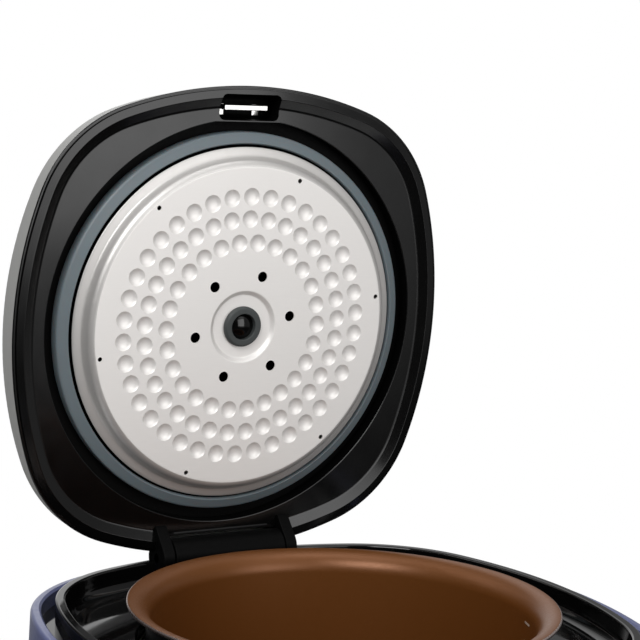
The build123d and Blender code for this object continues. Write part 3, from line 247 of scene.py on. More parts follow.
# Grommet, its post and the latch striker
GROMMET_RADIUS = 0.0123
GROMMET_FACE = 0.001
GROMMET_BACK = -0.0056
GROMMET_ROUND = 0.001
POST_RADIUS = 0.0076
POST_PLAY = 0.0003
POST_FOOT = 0.002
POST_HEAD = 0.0005
POST_DOME = 0.0025
DOME_STEPS = 8
STRIKER_V = 0.130
STRIKER_DEPTH = -0.0155
STRIKER_LENGTH = 0.029
STRIKER_SIZE = 0.003
STRIKER_LEG = 0.002
STRIKER_FOOT = 0.005
STRIKER_FOOT_SHEET = 0.0012
STRIKER_FOOT_V = (-0.0055, 0.0015)
STRIKER_ROUND = 0.0003

# Pot
POT_RIM_RADIUS = 0.120
POT_RADIUS = 0.109
POT_WALL = 0.0024
POT_FLOOR_Z = 0.056
POT_CORNER = 0.024
POT_FLARE = 0.012
POT_SHARP = 40
# How far a face of the pot leans outwards or down to take the finish of the outside
OUTSIDE_LEAN = 0.35
UNDERSIDE_LEAN = -0.2
MARK_TURN = radians(-19)
MARK_TOP = 0.1795
MARK_GAP = 0.011
MARK_COUNT = 8
MARK_WIDTH = 0.008
MARK_HEIGHT = 0.0011
MARK_PROUD = 0.0002

# Springs: wire thickness and turns, sides of the wire and steps of a turn
SENSOR_WIRE = 0.0014
SENSOR_TURNS = 5
LATCH_WIRE = 0.001
LATCH_TURNS = 6
WIRE_SIDES = 12
TURN_STEPS = 24

# Studio: a camera fitted to the round forms in the photograph, and soft lamps round the object
VIEW_AZIMUTH = radians(-30.91)
VIEW_RISE = radians(7.16)
VIEW_ROLL = radians(2.18)
VIEW_TARGET = Vector((-0.02245, 0, 0.35224))
VIEW_DISTANCE = 1.0221
SENSOR = 36.0
LENS = 107.17
FLOOR_RADIUS = 0.34
FLOOR_FADE = (0.5 * FLOOR_RADIUS, FLOOR_RADIUS)
FLOOR_GLOW = (0.6, 1.0)
SKY_FILL = 0.36
# Bright panels that gloss mirrors, as ramps along an axis from one level to another: a window low at
# the front right, and the ceiling
SKY_PANELS = [
    [("X", -0.15, 0.25, 0.03, 1.0), ("X", 0.42, 0.62, 1.0, 0.25), ("Z", -0.33, -0.15, 0.04, 1.0)],
    [("Z", 0.1, 0.5, 0.03, 0.14)],
]
LAMP_AIM = Vector((0, 0, 0.22))
LAMPS = [
    ("key_softbox", (-1.1, -1.0, 1.5), 1.1, 24),
    ("front_softbox", (0.32, -1.22, 0.5), 0.9, 4.5),
    ("top_softbox", (0.0, 0.2, 1.9), 1.2, 8),
]


def linear(code):
    """Linear red, green, blue and alpha of an sRGB hex colour."""
    channels = [int(code[place : place + 2], 16) / 255 for place in (0, 2, 4)]
    return [c / 12.92 if c <= 0.04045 else ((c + 0.055) / 1.055) ** 2.4 for c in channels] + [1.0]


def colour(name, description, code):
    """Colour property with an sRGB hex default."""
    return FloatVectorProperty(
        name=name, description=description, default=linear(code), size=4, subtype="COLOR", min=0, max=1
    )


class CookerSizes(bpy.types.PropertyGroup):
    """Sizes of the fine forms that the frame leaves to the modelled pieces"""

    edge_round: FloatProperty(
        name="Moulded Edge", description="Rounding of moulded edges", default=0.0006, unit="LENGTH"
    )
    dimple_radius: FloatProperty(
        name="Dimple Radius", description="Radius of a pressed dimple", default=0.0053, unit="LENGTH"
    )
    dimple_depth: FloatProperty(
        name="Dimple Depth", description="Depth of a pressed dimple", default=0.0015, unit="LENGTH"
    )


class CookerColours(bpy.types.PropertyGroup):
    """Colours of the cooker's finishes"""

    body: colour("Body", "Lacquer on the body shell", "5F658B")
    lid: colour("Lid", "Moulded lid cover", "A6A6A4")
    black: colour("Black", "Black mouldings", "060606")
    plate: colour("Plate", "Anodised inner lid plate", "F2EFEC")
    gasket: colour("Gasket", "Silicone gasket", "697378")
    grommet: colour("Grommet", "Silicone grommet", "3C4040")
    pot: colour("Pot", "Bronze-coloured non-stick coat", "70421A")
    floor: colour("Floor", "Studio floor", "F2F2F0")


def plan_radius(turn, half):
    """Distance from the axis to the rounded-square outline of a half width, along a direction."""
    grow = half - PLAN_HALF
    side = SIDE_RADIUS + grow
    corner = CORNER_RADIUS + grow
    turn = abs((turn + pi / 4) % (pi / 2) - pi / 4)
    if turn < atan2(side * sin(SIDE_TURN), side * cos(SIDE_TURN) - SIDE_CENTRE):
        return sqrt(side**2 - (SIDE_CENTRE * sin(turn)) ** 2) - SIDE_CENTRE * cos(turn)
    along = CORNER_CENTRE * (cos(turn) + sin(turn))
    return along + sqrt(corner**2 - 2 * CORNER_CENTRE**2 + along**2)


def plan(half, depth):
    """Loop of the rounded-square outline at a depth."""
    return lambda turn: (plan_radius(turn, half), depth)


def ring(radius, depth):
    """Round loop at a depth."""
    return lambda turn: (radius, depth)


def arc_points(centre, radius, start, end, steps):
    """Points along an arc, from one angle in degrees to another."""
    turns = [radians(start + (end - start) * step / steps) for step in range(steps + 1)]
    return [(centre[0] + radius * cos(turn), centre[1] + radius * sin(turn)) for turn in turns]


def arc(kind, centre, radius, start, end, steps):
    """Loops along an arc of the profile, from one angle in degrees to another."""
    return [kind(*point) for point in arc_points(centre, radius, start, end, steps)]


def squashed_flare(start, reach, low, rise):
    """Loops of a quarter of an ellipse that leaves a wall upright and ends flat."""
    turns = [radians(90 * step / CORNER_STEPS) for step in range(CORNER_STEPS + 1)]
    return [ring(start + reach * (1 - cos(turn)), low + rise * sin(turn)) for turn in turns]


def flank(z, proud=0.0):
    """Half width of the bulging body side at a height, or of a skin that stands proud of it."""
    return BULGE_HALF - FLANK_RADIUS + sqrt((FLANK_RADIUS + proud) ** 2 - (z - BULGE_Z) ** 2)


def from_loops(name, loops, closed=True, count=SEGMENTS):
    """Extrudes a circle of points through loops, then joins the last to the first or caps both."""
    bpy.ops.object.select_all(action="DESELECT")
    bpy.ops.mesh.primitive_circle_add(vertices=count, radius=1)
    piece = bpy.context.object
    piece.name = name
    bpy.ops.object.mode_set(mode="EDIT")
    bpy.ops.mesh.select_all(action="SELECT")
    for number, loop in enumerate(loops + loops[:1] if closed else loops):
        if number:
            bpy.ops.mesh.extrude_edges_move()
        shape = bmesh.from_edit_mesh(piece.data)
        for point in [p for p in shape.verts if p.select]:
            turn = atan2(point.co.y, point.co.x)
            radius, depth = loop(turn)
            point.co = (radius * cos(turn), radius * sin(turn), depth)
        bmesh.update_edit_mesh(piece.data)
    bpy.ops.mesh.select_all(action="SELECT")
    bpy.ops.mesh.remove_doubles(threshold=MERGE_GAP)
    if not closed:
        bpy.ops.mesh.fill_holes(sides=0)
    bpy.ops.mesh.normals_make_consistent(inside=False)
    bpy.ops.object.mode_set(mode="OBJECT")
    return piece


def block(name, low, high):
    """Box between two corners."""
    low, high = Vector(low), Vector(high)
    bpy.ops.object.select_all(action="DESELECT")
    bpy.ops.mesh.primitive_cube_add(size=1, location=(low + high) / 2, scale=high - low)
    bpy.ops.object.transform_apply(location=True, rotation=True, scale=True)
    bpy.context.object.name = name
    return bpy.context.object


def rod(name, radius, low, high, count):
    """Round bar on the Z axis, from one height to another."""
    middle = (0, 0, (low + high) / 2)
    bpy.ops.object.select_all(action="DESELECT")
    bpy.ops.mesh.primitive_cylinder_add(vertices=count, radius=radius, depth=high - low, location=middle)
    bpy.ops.object.transform_apply(location=True, rotation=True, scale=True)
    bpy.context.object.name = name
    return bpy.context.object


def round_along(piece, axis, width, segments=6, straight=0.999):
    """Rounds the edges that run along one axis."""
    pick(piece)
    bpy.ops.object.mode_set(mode="EDIT")
    bpy.ops.mesh.select_mode(type="EDGE")
    bpy.ops.mesh.select_all(action="DESELECT")
    shape = bmesh.from_edit_mesh(piece.data)
    for edge in shape.edges:
        run = edge.verts[1].co - edge.verts[0].co
        edge.select = abs(run[axis]) > straight * run.length
    bmesh.update_edit_mesh(piece.data)
    bpy.ops.mesh.bevel(offset=width, segments=segments, affect="EDGES")
    bpy.ops.mesh.select_mode(type="VERT")
    bpy.ops.object.mode_set(mode="OBJECT")
    return piece


def pick(*pieces):
    """Selects pieces and nothing else, and makes the first one active."""
    bpy.ops.object.select_all(action="DESELECT")
    for piece in pieces:
        piece.select_set(True)
    bpy.context.view_layer.objects.active = pieces[0]


def apply_change(piece, change):
    """Applies a modifier of a piece."""
    pick(piece)
    bpy.ops.object.modifier_apply(modifier=change.name)


def soften(piece, width, segments=3, angle=30):
    """Rounds every edge that is sharper than an angle."""
    change = piece.modifiers.new("Rounded edges", "BEVEL")
    change.width = width
    change.segments = segments
    change.limit_method = "ANGLE"
    change.angle_limit = radians(angle)
    apply_change(piece, change)
    return piece


def combine(piece, tool, operation):
    """Cuts a tool from a piece or fuses it on, and removes the tool."""
    change = piece.modifiers.new(operation.title(), "BOOLEAN")
    change.operation = operation
    change.solver = "EXACT"
    change.object = tool
    apply_change(piece, change)
    bpy.data.objects.remove(tool, do_unlink=True)
    return piece


def join(name, parts):
    """Joins several meshes into one object."""
    pick(*parts)
    bpy.ops.object.join()
    bpy.context.object.name = name
    return bpy.context.object


def copies(model, places):
    """Copies of a mesh object at several offsets, each with its own mesh; the model itself goes."""
    made = []
    for place in places:
        copy = model.copy()
        copy.data = model.data.copy()
        copy.data.transform(Matrix.Translation(place))
        bpy.context.collection.objects.link(copy)
        made.append(copy)
    bpy.data.objects.remove(model, do_unlink=True)
    return made


def circle_of(radius, count, start):
    """Points evenly round a circle, from a start angle in degrees."""
    turns = [radians(start + 360 * place / count) for place in range(count)]
    return [Vector((radius * cos(turn), radius * sin(turn), 0)) for turn in turns]


def prism(name, outline, low, high):
    """Solid with an outline of (y, z) points, drawn out along X."""
    bpy.ops.object.select_all(action="DESELECT")
    bpy.ops.mesh.primitive_circle_add(vertices=len(outline), radius=1, fill_type="NGON")
    piece = bpy.context.object
    piece.name = name
    for point, (y, z) in zip(piece.data.vertices, outline):
        point.co = (low, y, z)
    bpy.ops.object.mode_set(mode="EDIT")
    bpy.ops.mesh.select_all(action="SELECT")
    bpy.ops.mesh.extrude_region_move(TRANSFORM_OT_translate={"value": (high - low, 0, 0)})
    bpy.ops.mesh.select_all(action="SELECT")
    bpy.ops.mesh.normals_make_consistent(inside=False)
    bpy.ops.object.mode_set(mode="OBJECT")
    return piece


def coil(name, radius, wire, length, turns):
    """Wire wound round the Z axis, from the origin up to a length."""
    bpy.ops.object.select_all(action="DESELECT")
    start = (radius - wire / 2, 0, wire / 2)
    bpy.ops.mesh.primitive_circle_add(
        vertices=WIRE_SIDES, radius=wire / 2, location=start, rotation=(pi / 2, 0, 0)
    )
    bpy.ops.object.transform_apply(location=True, rotation=True, scale=True)
    piece = bpy.context.object
    piece.name = name
    change = piece.modifiers.new("Turns", "SCREW")
    change.screw_offset = (length - wire) / turns
    change.iterations = turns
    change.steps = change.render_steps = TURN_STEPS
    apply_change(piece, change)
    bpy.ops.object.mode_set(mode="EDIT")
    bpy.ops.mesh.select_all(action="SELECT")
    bpy.ops.mesh.fill_holes(sides=0)
    bpy.ops.mesh.normals_make_consistent(inside=False)
    bpy.ops.object.mode_set(mode="OBJECT")
    return piece


def hand_in(piece, body, slot, nodes=(), finishes=(), place=None, angle=35):
    """Puts a finished piece in its place, shades it, gives it its finishes, ties it to its body and hides the
    frame nodes it stands for.
    """
    if place is not None:
        piece.data.transform(place)
    pick(piece)
    bpy.ops.object.shade_smooth_by_angle(angle=radians(angle))
    change = piece.modifiers.new("Flat faces shade flat", "WEIGHTED_NORMAL")
    change.keep_sharp = True
    apply_change(piece, change)
    for name in finishes or [slot]:
        piece.data.materials.append(MADE[name])
    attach(piece, body)
    if nodes:
        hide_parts(*nodes)
    return piece


def add_node(tree, kind, inputs=(), **settings):
    """Adds a shader node with its settings, values and links; sockets go by name or place."""
    made = tree.nodes.new(kind)
    for name, value in settings.items():
        setattr(made, name, value)
    for socket, value in dict(inputs).items():
        if isinstance(value, bpy.types.NodeSocket):
            tree.links.new(value, made.inputs[socket])
        else:
            made.inputs[socket].default_value = value
    return made


def new_material(name, base, roughness, **sockets):
    """Material with one Principled shader: the material and the shader."""
    made = bpy.data.materials.new(name)
    made.use_nodes = True
    shader = made.node_tree.nodes["Principled BSDF"]
    shader.inputs["Base Color"].default_value = base
    shader.inputs["Roughness"].default_value = roughness
    for socket, value in sockets.items():
        shader.inputs[socket.replace("_", " ")].default_value = value
    return made, shader


def shade(base, factor):
    """Colour made lighter or darker."""
    return [min(1.0, channel * factor) for channel in base[:3]] + [1.0]


# Places of a Mix node's sockets, for colours and for numbers, and names of a Map Range node's
MIX_FACTOR = 0
COLOUR_A, COLOUR_B, COLOUR_RESULT = 6, 7, 2
NUMBER_A, NUMBER_B, NUMBER_RESULT = 2, 3, 0
RAMP = ("From Min", "From Max", "To Min", "To Max")
NOISE_SPREAD = (0.3, 0.7)


def grain(material, shader, size, rough, relief=0.0, tint=0.0, stretch=(1, 1, 1)):
    """Noise of a real size in metres over the object, that varies roughness, relief and colour."""
    tree = material.node_tree
    place = add_node(tree, "ShaderNodeTexCoord").outputs["Object"]
    place = add_node(tree, "ShaderNodeMapping", {"Vector": place, "Scale": stretch}).outputs["Vector"]
    noise = add_node(tree, "ShaderNodeTexNoise", {"Vector": place, "Scale": 1 / size, "Detail": 2.0})
    noise = noise.outputs["Fac"]
    spread = {"Value": noise, **dict(zip(RAMP, (*NOISE_SPREAD, *rough)))}
    spread = add_node(tree, "ShaderNodeMapRange", spread)
    tree.links.new(spread.outputs["Result"], shader.inputs["Roughness"])
    if tint:
        base = list(shader.inputs["Base Color"].default_value)
        mixed = {MIX_FACTOR: noise, COLOUR_A: shade(base, 1 - tint), COLOUR_B: shade(base, 1 + tint)}
        mixed = add_node(tree, "ShaderNodeMix", mixed, data_type="RGBA")
        tree.links.new(mixed.outputs[COLOUR_RESULT], shader.inputs["Base Color"])
    if relief:
        bump = add_node(tree, "ShaderNodeBump", {"Height": noise, "Distance": relief})
        tree.links.new(bump.outputs["Normal"], shader.inputs["Normal"])
    return material


def lacquered_abs(colours):
    """Lacquered ABS: satin pale blue under a clear coat with a faint orange peel, 4 mm across."""
    made = new_material("lacquered_abs", colours.body, 0.34, Coat_Weight=0.25, Coat_Roughness=0.12)
    return grain(*made, size=0.004, rough=(0.30, 0.38), relief=0.00002, tint=0.03)


def moulded_abs(colours):
    """Moulded ABS: warm light grey with the grain of a spark-eroded mould, drawn at 1.5 mm to show."""
    made = new_material("moulded_abs", colours.lid, 0.45)
    return grain(*made, size=0.0015, rough=(0.40, 0.50), relief=0.00003, tint=0.03)


def polished_abs(colours):
    """Polished ABS: deep black that mirrors the lamps, with a slightly uneven gloss."""
    made = new_material("polished_abs", colours.black, 0.06)
    return grain(*made, size=0.02, rough=(0.04, 0.08))


def satin_abs(colours):
    """Satin ABS: black that goes smoothly grey where it mirrors the light."""
    made = new_material("satin_abs", colours.black, 0.16)
    return grain(*made, size=0.02, rough=(0.14, 0.18))


def shade_dulled_black(colours):
    """Dull black with its sheen cut far below a plastic's, as painted shade on the hinge and deep in the lid."""
    # Painted shade: a sheen far below what black plastic gives
    made = new_material("shade_dulled_black", colours.black, 0.5, Specular_IOR_Level=0.06)
    return grain(*made, size=0.002, rough=(0.45, 0.58), relief=0.00002)


def anodised_aluminium(colours):
    """Anodised aluminium sheet: near-white satin metal with brushed lines, drawn at 0.6 mm to show."""
    made = new_material("anodised_aluminium", colours.plate, 0.46, Metallic=0.35)
    return grain(*made, size=0.0006, rough=(0.40, 0.50), relief=0.000002, tint=0.02, stretch=(0.06, 1, 1))


def shaded_rim_aluminium(colours):
    """Aluminium of the plate's rim, smoothed by the press, with bright and dark rings; its colour is the plate's,
    darkened as painted shade.
    """
    # Painted shade: the plate's colour at three quarters, to dim the rim and the step below it
    made = new_material("shaded_rim_aluminium", shade(colours.plate, 0.76), 0.46, Metallic=0.7)
    return grain(*made, size=0.002, rough=(0.42, 0.50))


def moulded_silicone(colours):
    """Moulded silicone: soft blue-grey, faintly translucent, with a dull even sheen."""
    depth = {"Subsurface_Weight": 0.2, "Subsurface_Scale": 0.002}
    made = new_material("moulded_silicone", colours.gasket, 0.42, **depth)
    return grain(*made, size=0.003, rough=(0.38, 0.48), relief=0.00002)


def dark_silicone(colours):
    """Moulded silicone: dark grey and dull."""
    made = new_material("dark_silicone", colours.grommet, 0.55)
    return grain(*made, size=0.002, rough=(0.50, 0.62), relief=0.00002)


def moulded_rubber(colours):
    """Moulded rubber: matt black."""
    made = new_material("moulded_rubber", linear("1C1C1C"), 0.8)
    return grain(*made, size=0.002, rough=(0.72, 0.86), relief=0.00004)


def plated_steel(colours):
    """Nickel-plated steel: bright and smooth, with fine drawn lines along it."""
    made = new_material("plated_steel", linear("D6D5D2"), 0.18, Metallic=1.0)
    return grain(*made, size=0.0015, rough=(0.14, 0.24), stretch=(0.1, 1, 1))


def spring_steel(colours):
    """Spring steel: drawn wire, a little darker than plate."""
    made = new_material("drawn_spring_steel", linear("9C9B98"), 0.3, Metallic=1.0)
    return grain(*made, size=0.0015, rough=(0.25, 0.36))


def bronze_coat(colours):
    """Non-stick coat: satin bronze brown with fine metal flake, drawn at 1.2 mm to show."""
    made = new_material("bronze_coat", colours.pot, 0.36, Metallic=0.35)
    return grain(*made, size=0.0012, rough=(0.32, 0.42), relief=0.000006, tint=0.06)


def printed_enamel(colours):
    """Printed enamel: pale grey level marks inside the pot, a little worn."""
    made = new_material("printed_enamel", linear("A99A8C"), 0.5)
    return grain(*made, size=0.001, rough=(0.42, 0.58), tint=0.1)


def hard_anodised_aluminium(colours):
    """Hard-anodised aluminium: near-black and dull, on the outside of the pot."""
    made = new_material("hard_anodised_aluminium", linear("17181B"), 0.42, Metallic=0.3)
    return grain(*made, size=0.002, rough=(0.36, 0.48), relief=0.00001)


def turned_aluminium(colours):
    """Turned aluminium: bare pinkish metal on the cut edge of the pot."""
    made = new_material("turned_aluminium", linear("D8C6C0"), 0.28, Metallic=1.0)
    return grain(*made, size=0.001, rough=(0.22, 0.34))


def cast_aluminium(colours):
    """Cast aluminium: dull grey with a sandy skin."""
    made = new_material("cast_aluminium_skin", linear("B4B4B2"), 0.5, Metallic=1.0)
    return grain(*made, size=0.002, rough=(0.42, 0.60), relief=0.00005)


def pressed_aluminium(colours):
    """Pressed aluminium sheet: bright, with faint rolling grain."""
    made = new_material("pressed_aluminium", linear("C6C6C4"), 0.32, Metallic=1.0)
    return grain(*made, size=0.002, rough=(0.28, 0.40), stretch=(1, 1, 0.1))


def plated_brass(colours):
    """Plated brass: warm yellow metal."""
    made = new_material("plated_brass", linear("C9A55C"), 0.25, Metallic=1.0)
    return grain(*made, size=0.001, rough=(0.20, 0.32))


def circuit_board(colours):
    """Glass-fibre circuit board under green solder mask."""
    made = new_material("circuit_board", linear("1D4D2B"), 0.4)
    return grain(*made, size=0.001, rough=(0.34, 0.46))


def smoked_acrylic(colours):
    """Smoked acrylic: a near-black window with a hard gloss."""
    made = new_material("smoked_acrylic", linear("0B0C0E"), 0.05, Coat_Weight=0.5)
    return grain(*made, size=0.03, rough=(0.03, 0.07))


def moulded_key_abs(colours):
    """Moulded ABS keys: mid grey satin."""
    made = new_material("moulded_key_abs", linear("9B9B9B"), 0.4)
    return grain(*made, size=0.0012, rough=(0.36, 0.46), relief=0.00002)


# The record's slots, and more finishes of the hinge, the plate and the pot; the dull black of the hinge and deep
# lid and the darker plate rim are painted shade
FINISHES = {
    "body_blue": lacquered_abs,
    "lid_grey": moulded_abs,
    "black_gloss": polished_abs,
    "black_satin": satin_abs,
    "shaded_black": shade_dulled_black,
    "plate_aluminium": anodised_aluminium,
    "plate_rim": shaded_rim_aluminium,
    "gasket_silicone": moulded_silicone,
    "grommet_silicone": dark_silicone,
    "foot_rubber": moulded_rubber,
    "steel": plated_steel,
    "spring_steel": spring_steel,
    "pot_copper": bronze_coat,
    "pot_outside": hard_anodised_aluminium,
    "pot_edge": turned_aluminium,
    "pot_marks": printed_enamel,
    "cast_aluminium": cast_aluminium,
    "sheet_aluminium": pressed_aluminium,
    "brass": plated_brass,
    "board_green": circuit_board,
    "lens": smoked_acrylic,
    "button_grey": moulded_key_abs,
}
MADE = {}


class COOKER_OT_finishes(bpy.types.Operator):
    """Makes the cooker's materials and gives every frame node the one its record names"""

    bl_idname = "cooker.finishes"
    bl_label = "Finishes"

    def execute(self, context):
        for slot, make in FINISHES.items():
            MADE[slot] = make(context.scene.cooker_colours)
        for entry in frame["record"]["subparts"]:
            frame["nodes"][entry["node"]].material_slots[0].material = MADE[entry["material_slot"]]
        return {"FINISHED"}


class COOKER_OT_lid_liner(bpy.types.Operator):
    """Models the lid's inner moulding: ridged rim, band, round recess, latch pocket and hinge ribs"""

    bl_idname = "cooker.lid_liner"
    bl_label = "Lid Liner"

    def execute(self, context):
        edge = context.scene.cooker_sizes.edge_round
        groove = [edge * share for share in RIM_GROOVE]
        loops = [
            plan(LINER_INNER_HALF, LINER_BACK),
            plan(LINER_INNER_HALF, COVER_EDGE),
            plan(LID_HALF, COVER_EDGE),
        ]
        loops += arc(plan, (LID_HALF - edge, RIM_EDGE - edge / 2), edge, 0, 90, FINE_STEPS)
        loops += [
            plan(LID_HALF - groove[0], RIM_EDGE + edge / 2),
            plan(LID_HALF - groove[1], RIM_EDGE - edge / 2),
            plan(LID_HALF - groove[2], RIM_EDGE - edge / 2),
            plan(LID_HALF - groove[3], RIM_EDGE + RIM_STEP),
        ]
        loops += arc(plan, (CREST_HALF, CREST - CREST_ROUND), CREST_ROUND, *CREST_TURN, EDGE_STEPS)
        foot = (BAND_HALF - BAND_ROUND / 5, BAND + BAND_ROUND)
        loops += arc(plan, foot, BAND_ROUND, *BAND_TURN, EDGE_STEPS)
        loops += arc(ring, (RECESS_RADIUS + edge, BAND - edge), edge, 90, 180, FINE_STEPS)
        loops += [
            ring(RECESS_RADIUS, RECESS_FLOOR),
            ring(POLE, RECESS_FLOOR),
            ring(POLE, PAN_BACK),
            ring(PAN_RADIUS, PAN_BACK),
            ring(PAN_RADIUS, LINER_BACK),
        ]
        liner = from_loops("lid_liner_moulding", loops)
        half = POCKET_WIDTH / 2
        low = POCKET_V - POCKET_HEIGHT / 2
        high = POCKET_V + POCKET_HEIGHT / 2
        skin = POCKET_WALL / 3
        back = POCKET_FLOOR - POCKET_WALL
        outline = [
            (low - skin, BAND - HOUSING_DROP),
            (high + skin, BAND - HOUSING_DROP),
            (high + skin, POCKET_BEND),
            (high + skin - POCKET_LEAN, back),
            (low - skin, back),
        ]
        housing = prism("housing", outline, -half - POCKET_WALL, half + POCKET_WALL)
        combine(liner, housing, "UNION")
        outline = [
            (low, 2 * POCKET_WALL),
            (high, 2 * POCKET_WALL),
            (high, POCKET_BEND),
            (high - POCKET_LEAN, POCKET_FLOOR),
            (low, POCKET_FLOOR),
        ]
        pocket = soften(prism("pocket", outline, -half, half), POCKET_ROUND, segments=6)
        combine(liner, pocket, "DIFFERENCE")
        reach = KNUCKLE_RADIUS + KNUCKLE_PLAY
        cuts = {
            "gap": [(-HINGE.y - reach - OVERRUN, PAN_BACK - OVERRUN), (-HINGE.y + reach, 0), RIB_OUTER],
            "level": [(-HINGE.y, BAND + POLE), (-BAND_HALF + BAND_ROUND, 0), RIB_OUTER],
            "slit": [(-SLIT_V - SLIT_SIZE, BAND - SLIT_SIZE), (-SLIT_V, 0), SLIT_HALF],
        }
        for name, (start, end, half) in cuts.items():
            combine(liner, block(name, (-half, *start), (half, *end)), "DIFFERENCE")
        for face in liner.data.polygons:
            # Faces deep in the lid, in its recess and pocket, take the dull black as painted shade
            face.material_index = int(face.center.z < BAND - 2 * edge)
        hand_in(liner, "lid", "black_satin", ["lid_liner"], ["black_satin", "shaded_black"], place=LID)
        outline = arc_points((-HINGE.y, HINGE_DEPTH), KNUCKLE_RADIUS, *RIB_TURN, BARREL_STEPS)
        outline += [(-HINGE.y + KNUCKLE_RADIUS, LINER_BACK), (-RECESS_RADIUS, LINER_BACK)]
        outline += [(-RECESS_RADIUS, BAND + RIB_RISE)]
        # The ribs take the dull black, painted shade
        for side, start in (("left", -RIB_OUTER), ("right", RIB_INNER)):
            rib = soften(prism(f"hinge_rib_{side}", outline, start, start + RIB_OUTER - RIB_INNER), edge)
            hand_in(rib, "lid", "black_satin", finishes=["shaded_black"], place=LID)
        return {"FINISHED"}


class COOKER_OT_lid_plate(bpy.types.Operator):
    """Models the pressed inner lid plate with its stepped rim, hub, dimples and steam holes"""

    bl_idname = "cooker.lid_plate"
    bl_label = "Inner Lid Plate"

    def execute(self, context):
        sizes = context.scene.cooker_sizes
        loops = [ring(EYE_RADIUS, -HUB_DEPTH)]
        for step in range(HUB_STEPS + 1):
            share = step / HUB_STEPS
            eased = share**2 * (3 - 2 * share)
            loops.append(ring(HUB_RADIUS - HUB_STEP * (1 - share), -HUB_DEPTH * (1 - eased)))
        bend = (PLATE_FACE_RADIUS, -SHOULDER_ROUND)
        loops += arc(ring, bend, SHOULDER_ROUND, *SHOULDER_TURN, CORNER_STEPS)
        loops += [ring(*point) for point in PLATE_RIM]
        loops += [
            ring(PLATE_RIM_RADIUS, PLATE_RIM_DEPTH - PLATE_RIM_SHEET),
            ring(PLATE_FACE_RADIUS, PLATE_RIM_DEPTH - PLATE_RIM_SHEET),
            ring(PLATE_FACE_RADIUS - PLATE_BACK_BEND, -PLATE_BACK),
            ring(HUB_RADIUS + HUB_BACK_BEND, -PLATE_BACK),
            ring(HUB_RADIUS - HUB_BACK_BEND, -PLATE_BACK - HUB_DEPTH / 2),
            ring(EYE_RADIUS, -PLATE_BACK - HUB_DEPTH / 2),
        ]
        plate = from_loops("inner_lid_plate_pressing", loops, count=PLATE_SEGMENTS)
        soften(plate, FINE_ROUND)
        bowl = [
            ring(sizes.dimple_radius * share, sizes.dimple_depth * (share**DIMPLE_POWER - 1))
            for share in DIMPLE_SHARES
        ]
        dimple = from_loops("dimple", bowl, closed=False, count=HOLE_SEGMENTS)
        places = [place for row in DIMPLE_RINGS for place in circle_of(*row)]
        combine(plate, join("dimples", copies(dimple, places)), "DIFFERENCE")
        for circle, radius in (SMALL_HOLE, LARGE_HOLE):
            for reach, top in ((radius + HOLE_RELIEF, -HOLE_SHEET), (radius, OVERRUN)):
                drill = rod("drill", reach, -OVERRUN, top, HOLE_SEGMENTS)
                drills = join("drills", copies(drill, circle_of(circle, HOLE_COUNT, HOLE_START)))
                combine(plate, drills, "DIFFERENCE")
        for face in plate.data.polygons:
            # Faces past the flat face take the rim's copy of the finish, darkened as painted shade
            face.material_index = int(face.center.xy.length > RIM_SHADE_RADIUS)
        finishes = ["plate_aluminium", "plate_rim"]
        hand_in(plate, "lid", "plate_aluminium", ["inner_lid_plate"], finishes, LID, PLATE_SHARP)
        return {"FINISHED"}


class COOKER_OT_lid_seals(bpy.types.Operator):
    """Models the gasket round the plate, and the grommet and post in its middle"""

    bl_idname = "cooker.lid_seals"
    bl_label = "Gasket and Grommet"

    def execute(self, context):
        outer, edge = GASKET_OUTER
        neck, underside = GASKET_NECK
        section = [
            (GASKET_INNER, GASKET_LIP[1]),
            GASKET_TOE,
            GASKET_SHOULDER,
            (outer, edge),
            (outer, RECESS_FLOOR),
            (neck, RECESS_FLOOR),
            (neck, underside),
            (GASKET_INNER, GASKET_LIP[0]),
        ]
        gasket = from_loops("lid_gasket_ring", [ring(*point) for point in section])
        soften(gasket, GASKET_ROUND, angle=GASKET_SHARP)
        hand_in(gasket, "lid", "gasket_silicone", ["lid_gasket"], place=LID)
        bore = POST_RADIUS + POST_PLAY
        section = [
            (bore, GROMMET_FACE),
            (GROMMET_RADIUS - GROMMET_ROUND, GROMMET_FACE),
            (GROMMET_RADIUS, GROMMET_FACE - GROMMET_ROUND),
            (GROMMET_RADIUS, -HUB_DEPTH),
            (EYE_RADIUS, -HUB_DEPTH),
            (EYE_RADIUS, -HUB_DEPTH - GROMMET_ROUND),
            (GROMMET_RADIUS, -HUB_DEPTH - GROMMET_ROUND),
            (GROMMET_RADIUS - GROMMET_ROUND, GROMMET_BACK),
            (bore, GROMMET_BACK),
        ]
        loops = [ring(*point) for point in section]
        grommet = from_loops("plate_grommet_ring", loops, count=GROMMET_SEGMENTS)
        soften(grommet, FINE_ROUND)
        hand_in(grommet, "lid", "grommet_silicone", ["plate_grommet"], place=LID)
        head = (POST_RADIUS**2 + POST_DOME**2) / (2 * POST_DOME)
        lean = acos(1 - POST_DOME / head)
        loops = [
            ring(POLE, RECESS_FLOOR),
            ring(2 * POST_RADIUS, RECESS_FLOOR),
            ring(2 * POST_RADIUS, RECESS_FLOOR + POST_FOOT),
            ring(POST_RADIUS, RECESS_FLOOR + POST_FOOT),
        ]
        for step in range(DOME_STEPS + 1):
            turn = lean * (1 - step / DOME_STEPS)
            loops.append(ring(max(POLE, head * sin(turn)), POST_HEAD - head * (1 - cos(turn))))
        post = from_loops("plate_post_head", loops, count=POST_SEGMENTS)
        hand_in(post, "lid", "black_gloss", ["plate_post"], place=LID)
        return {"FINISHED"}


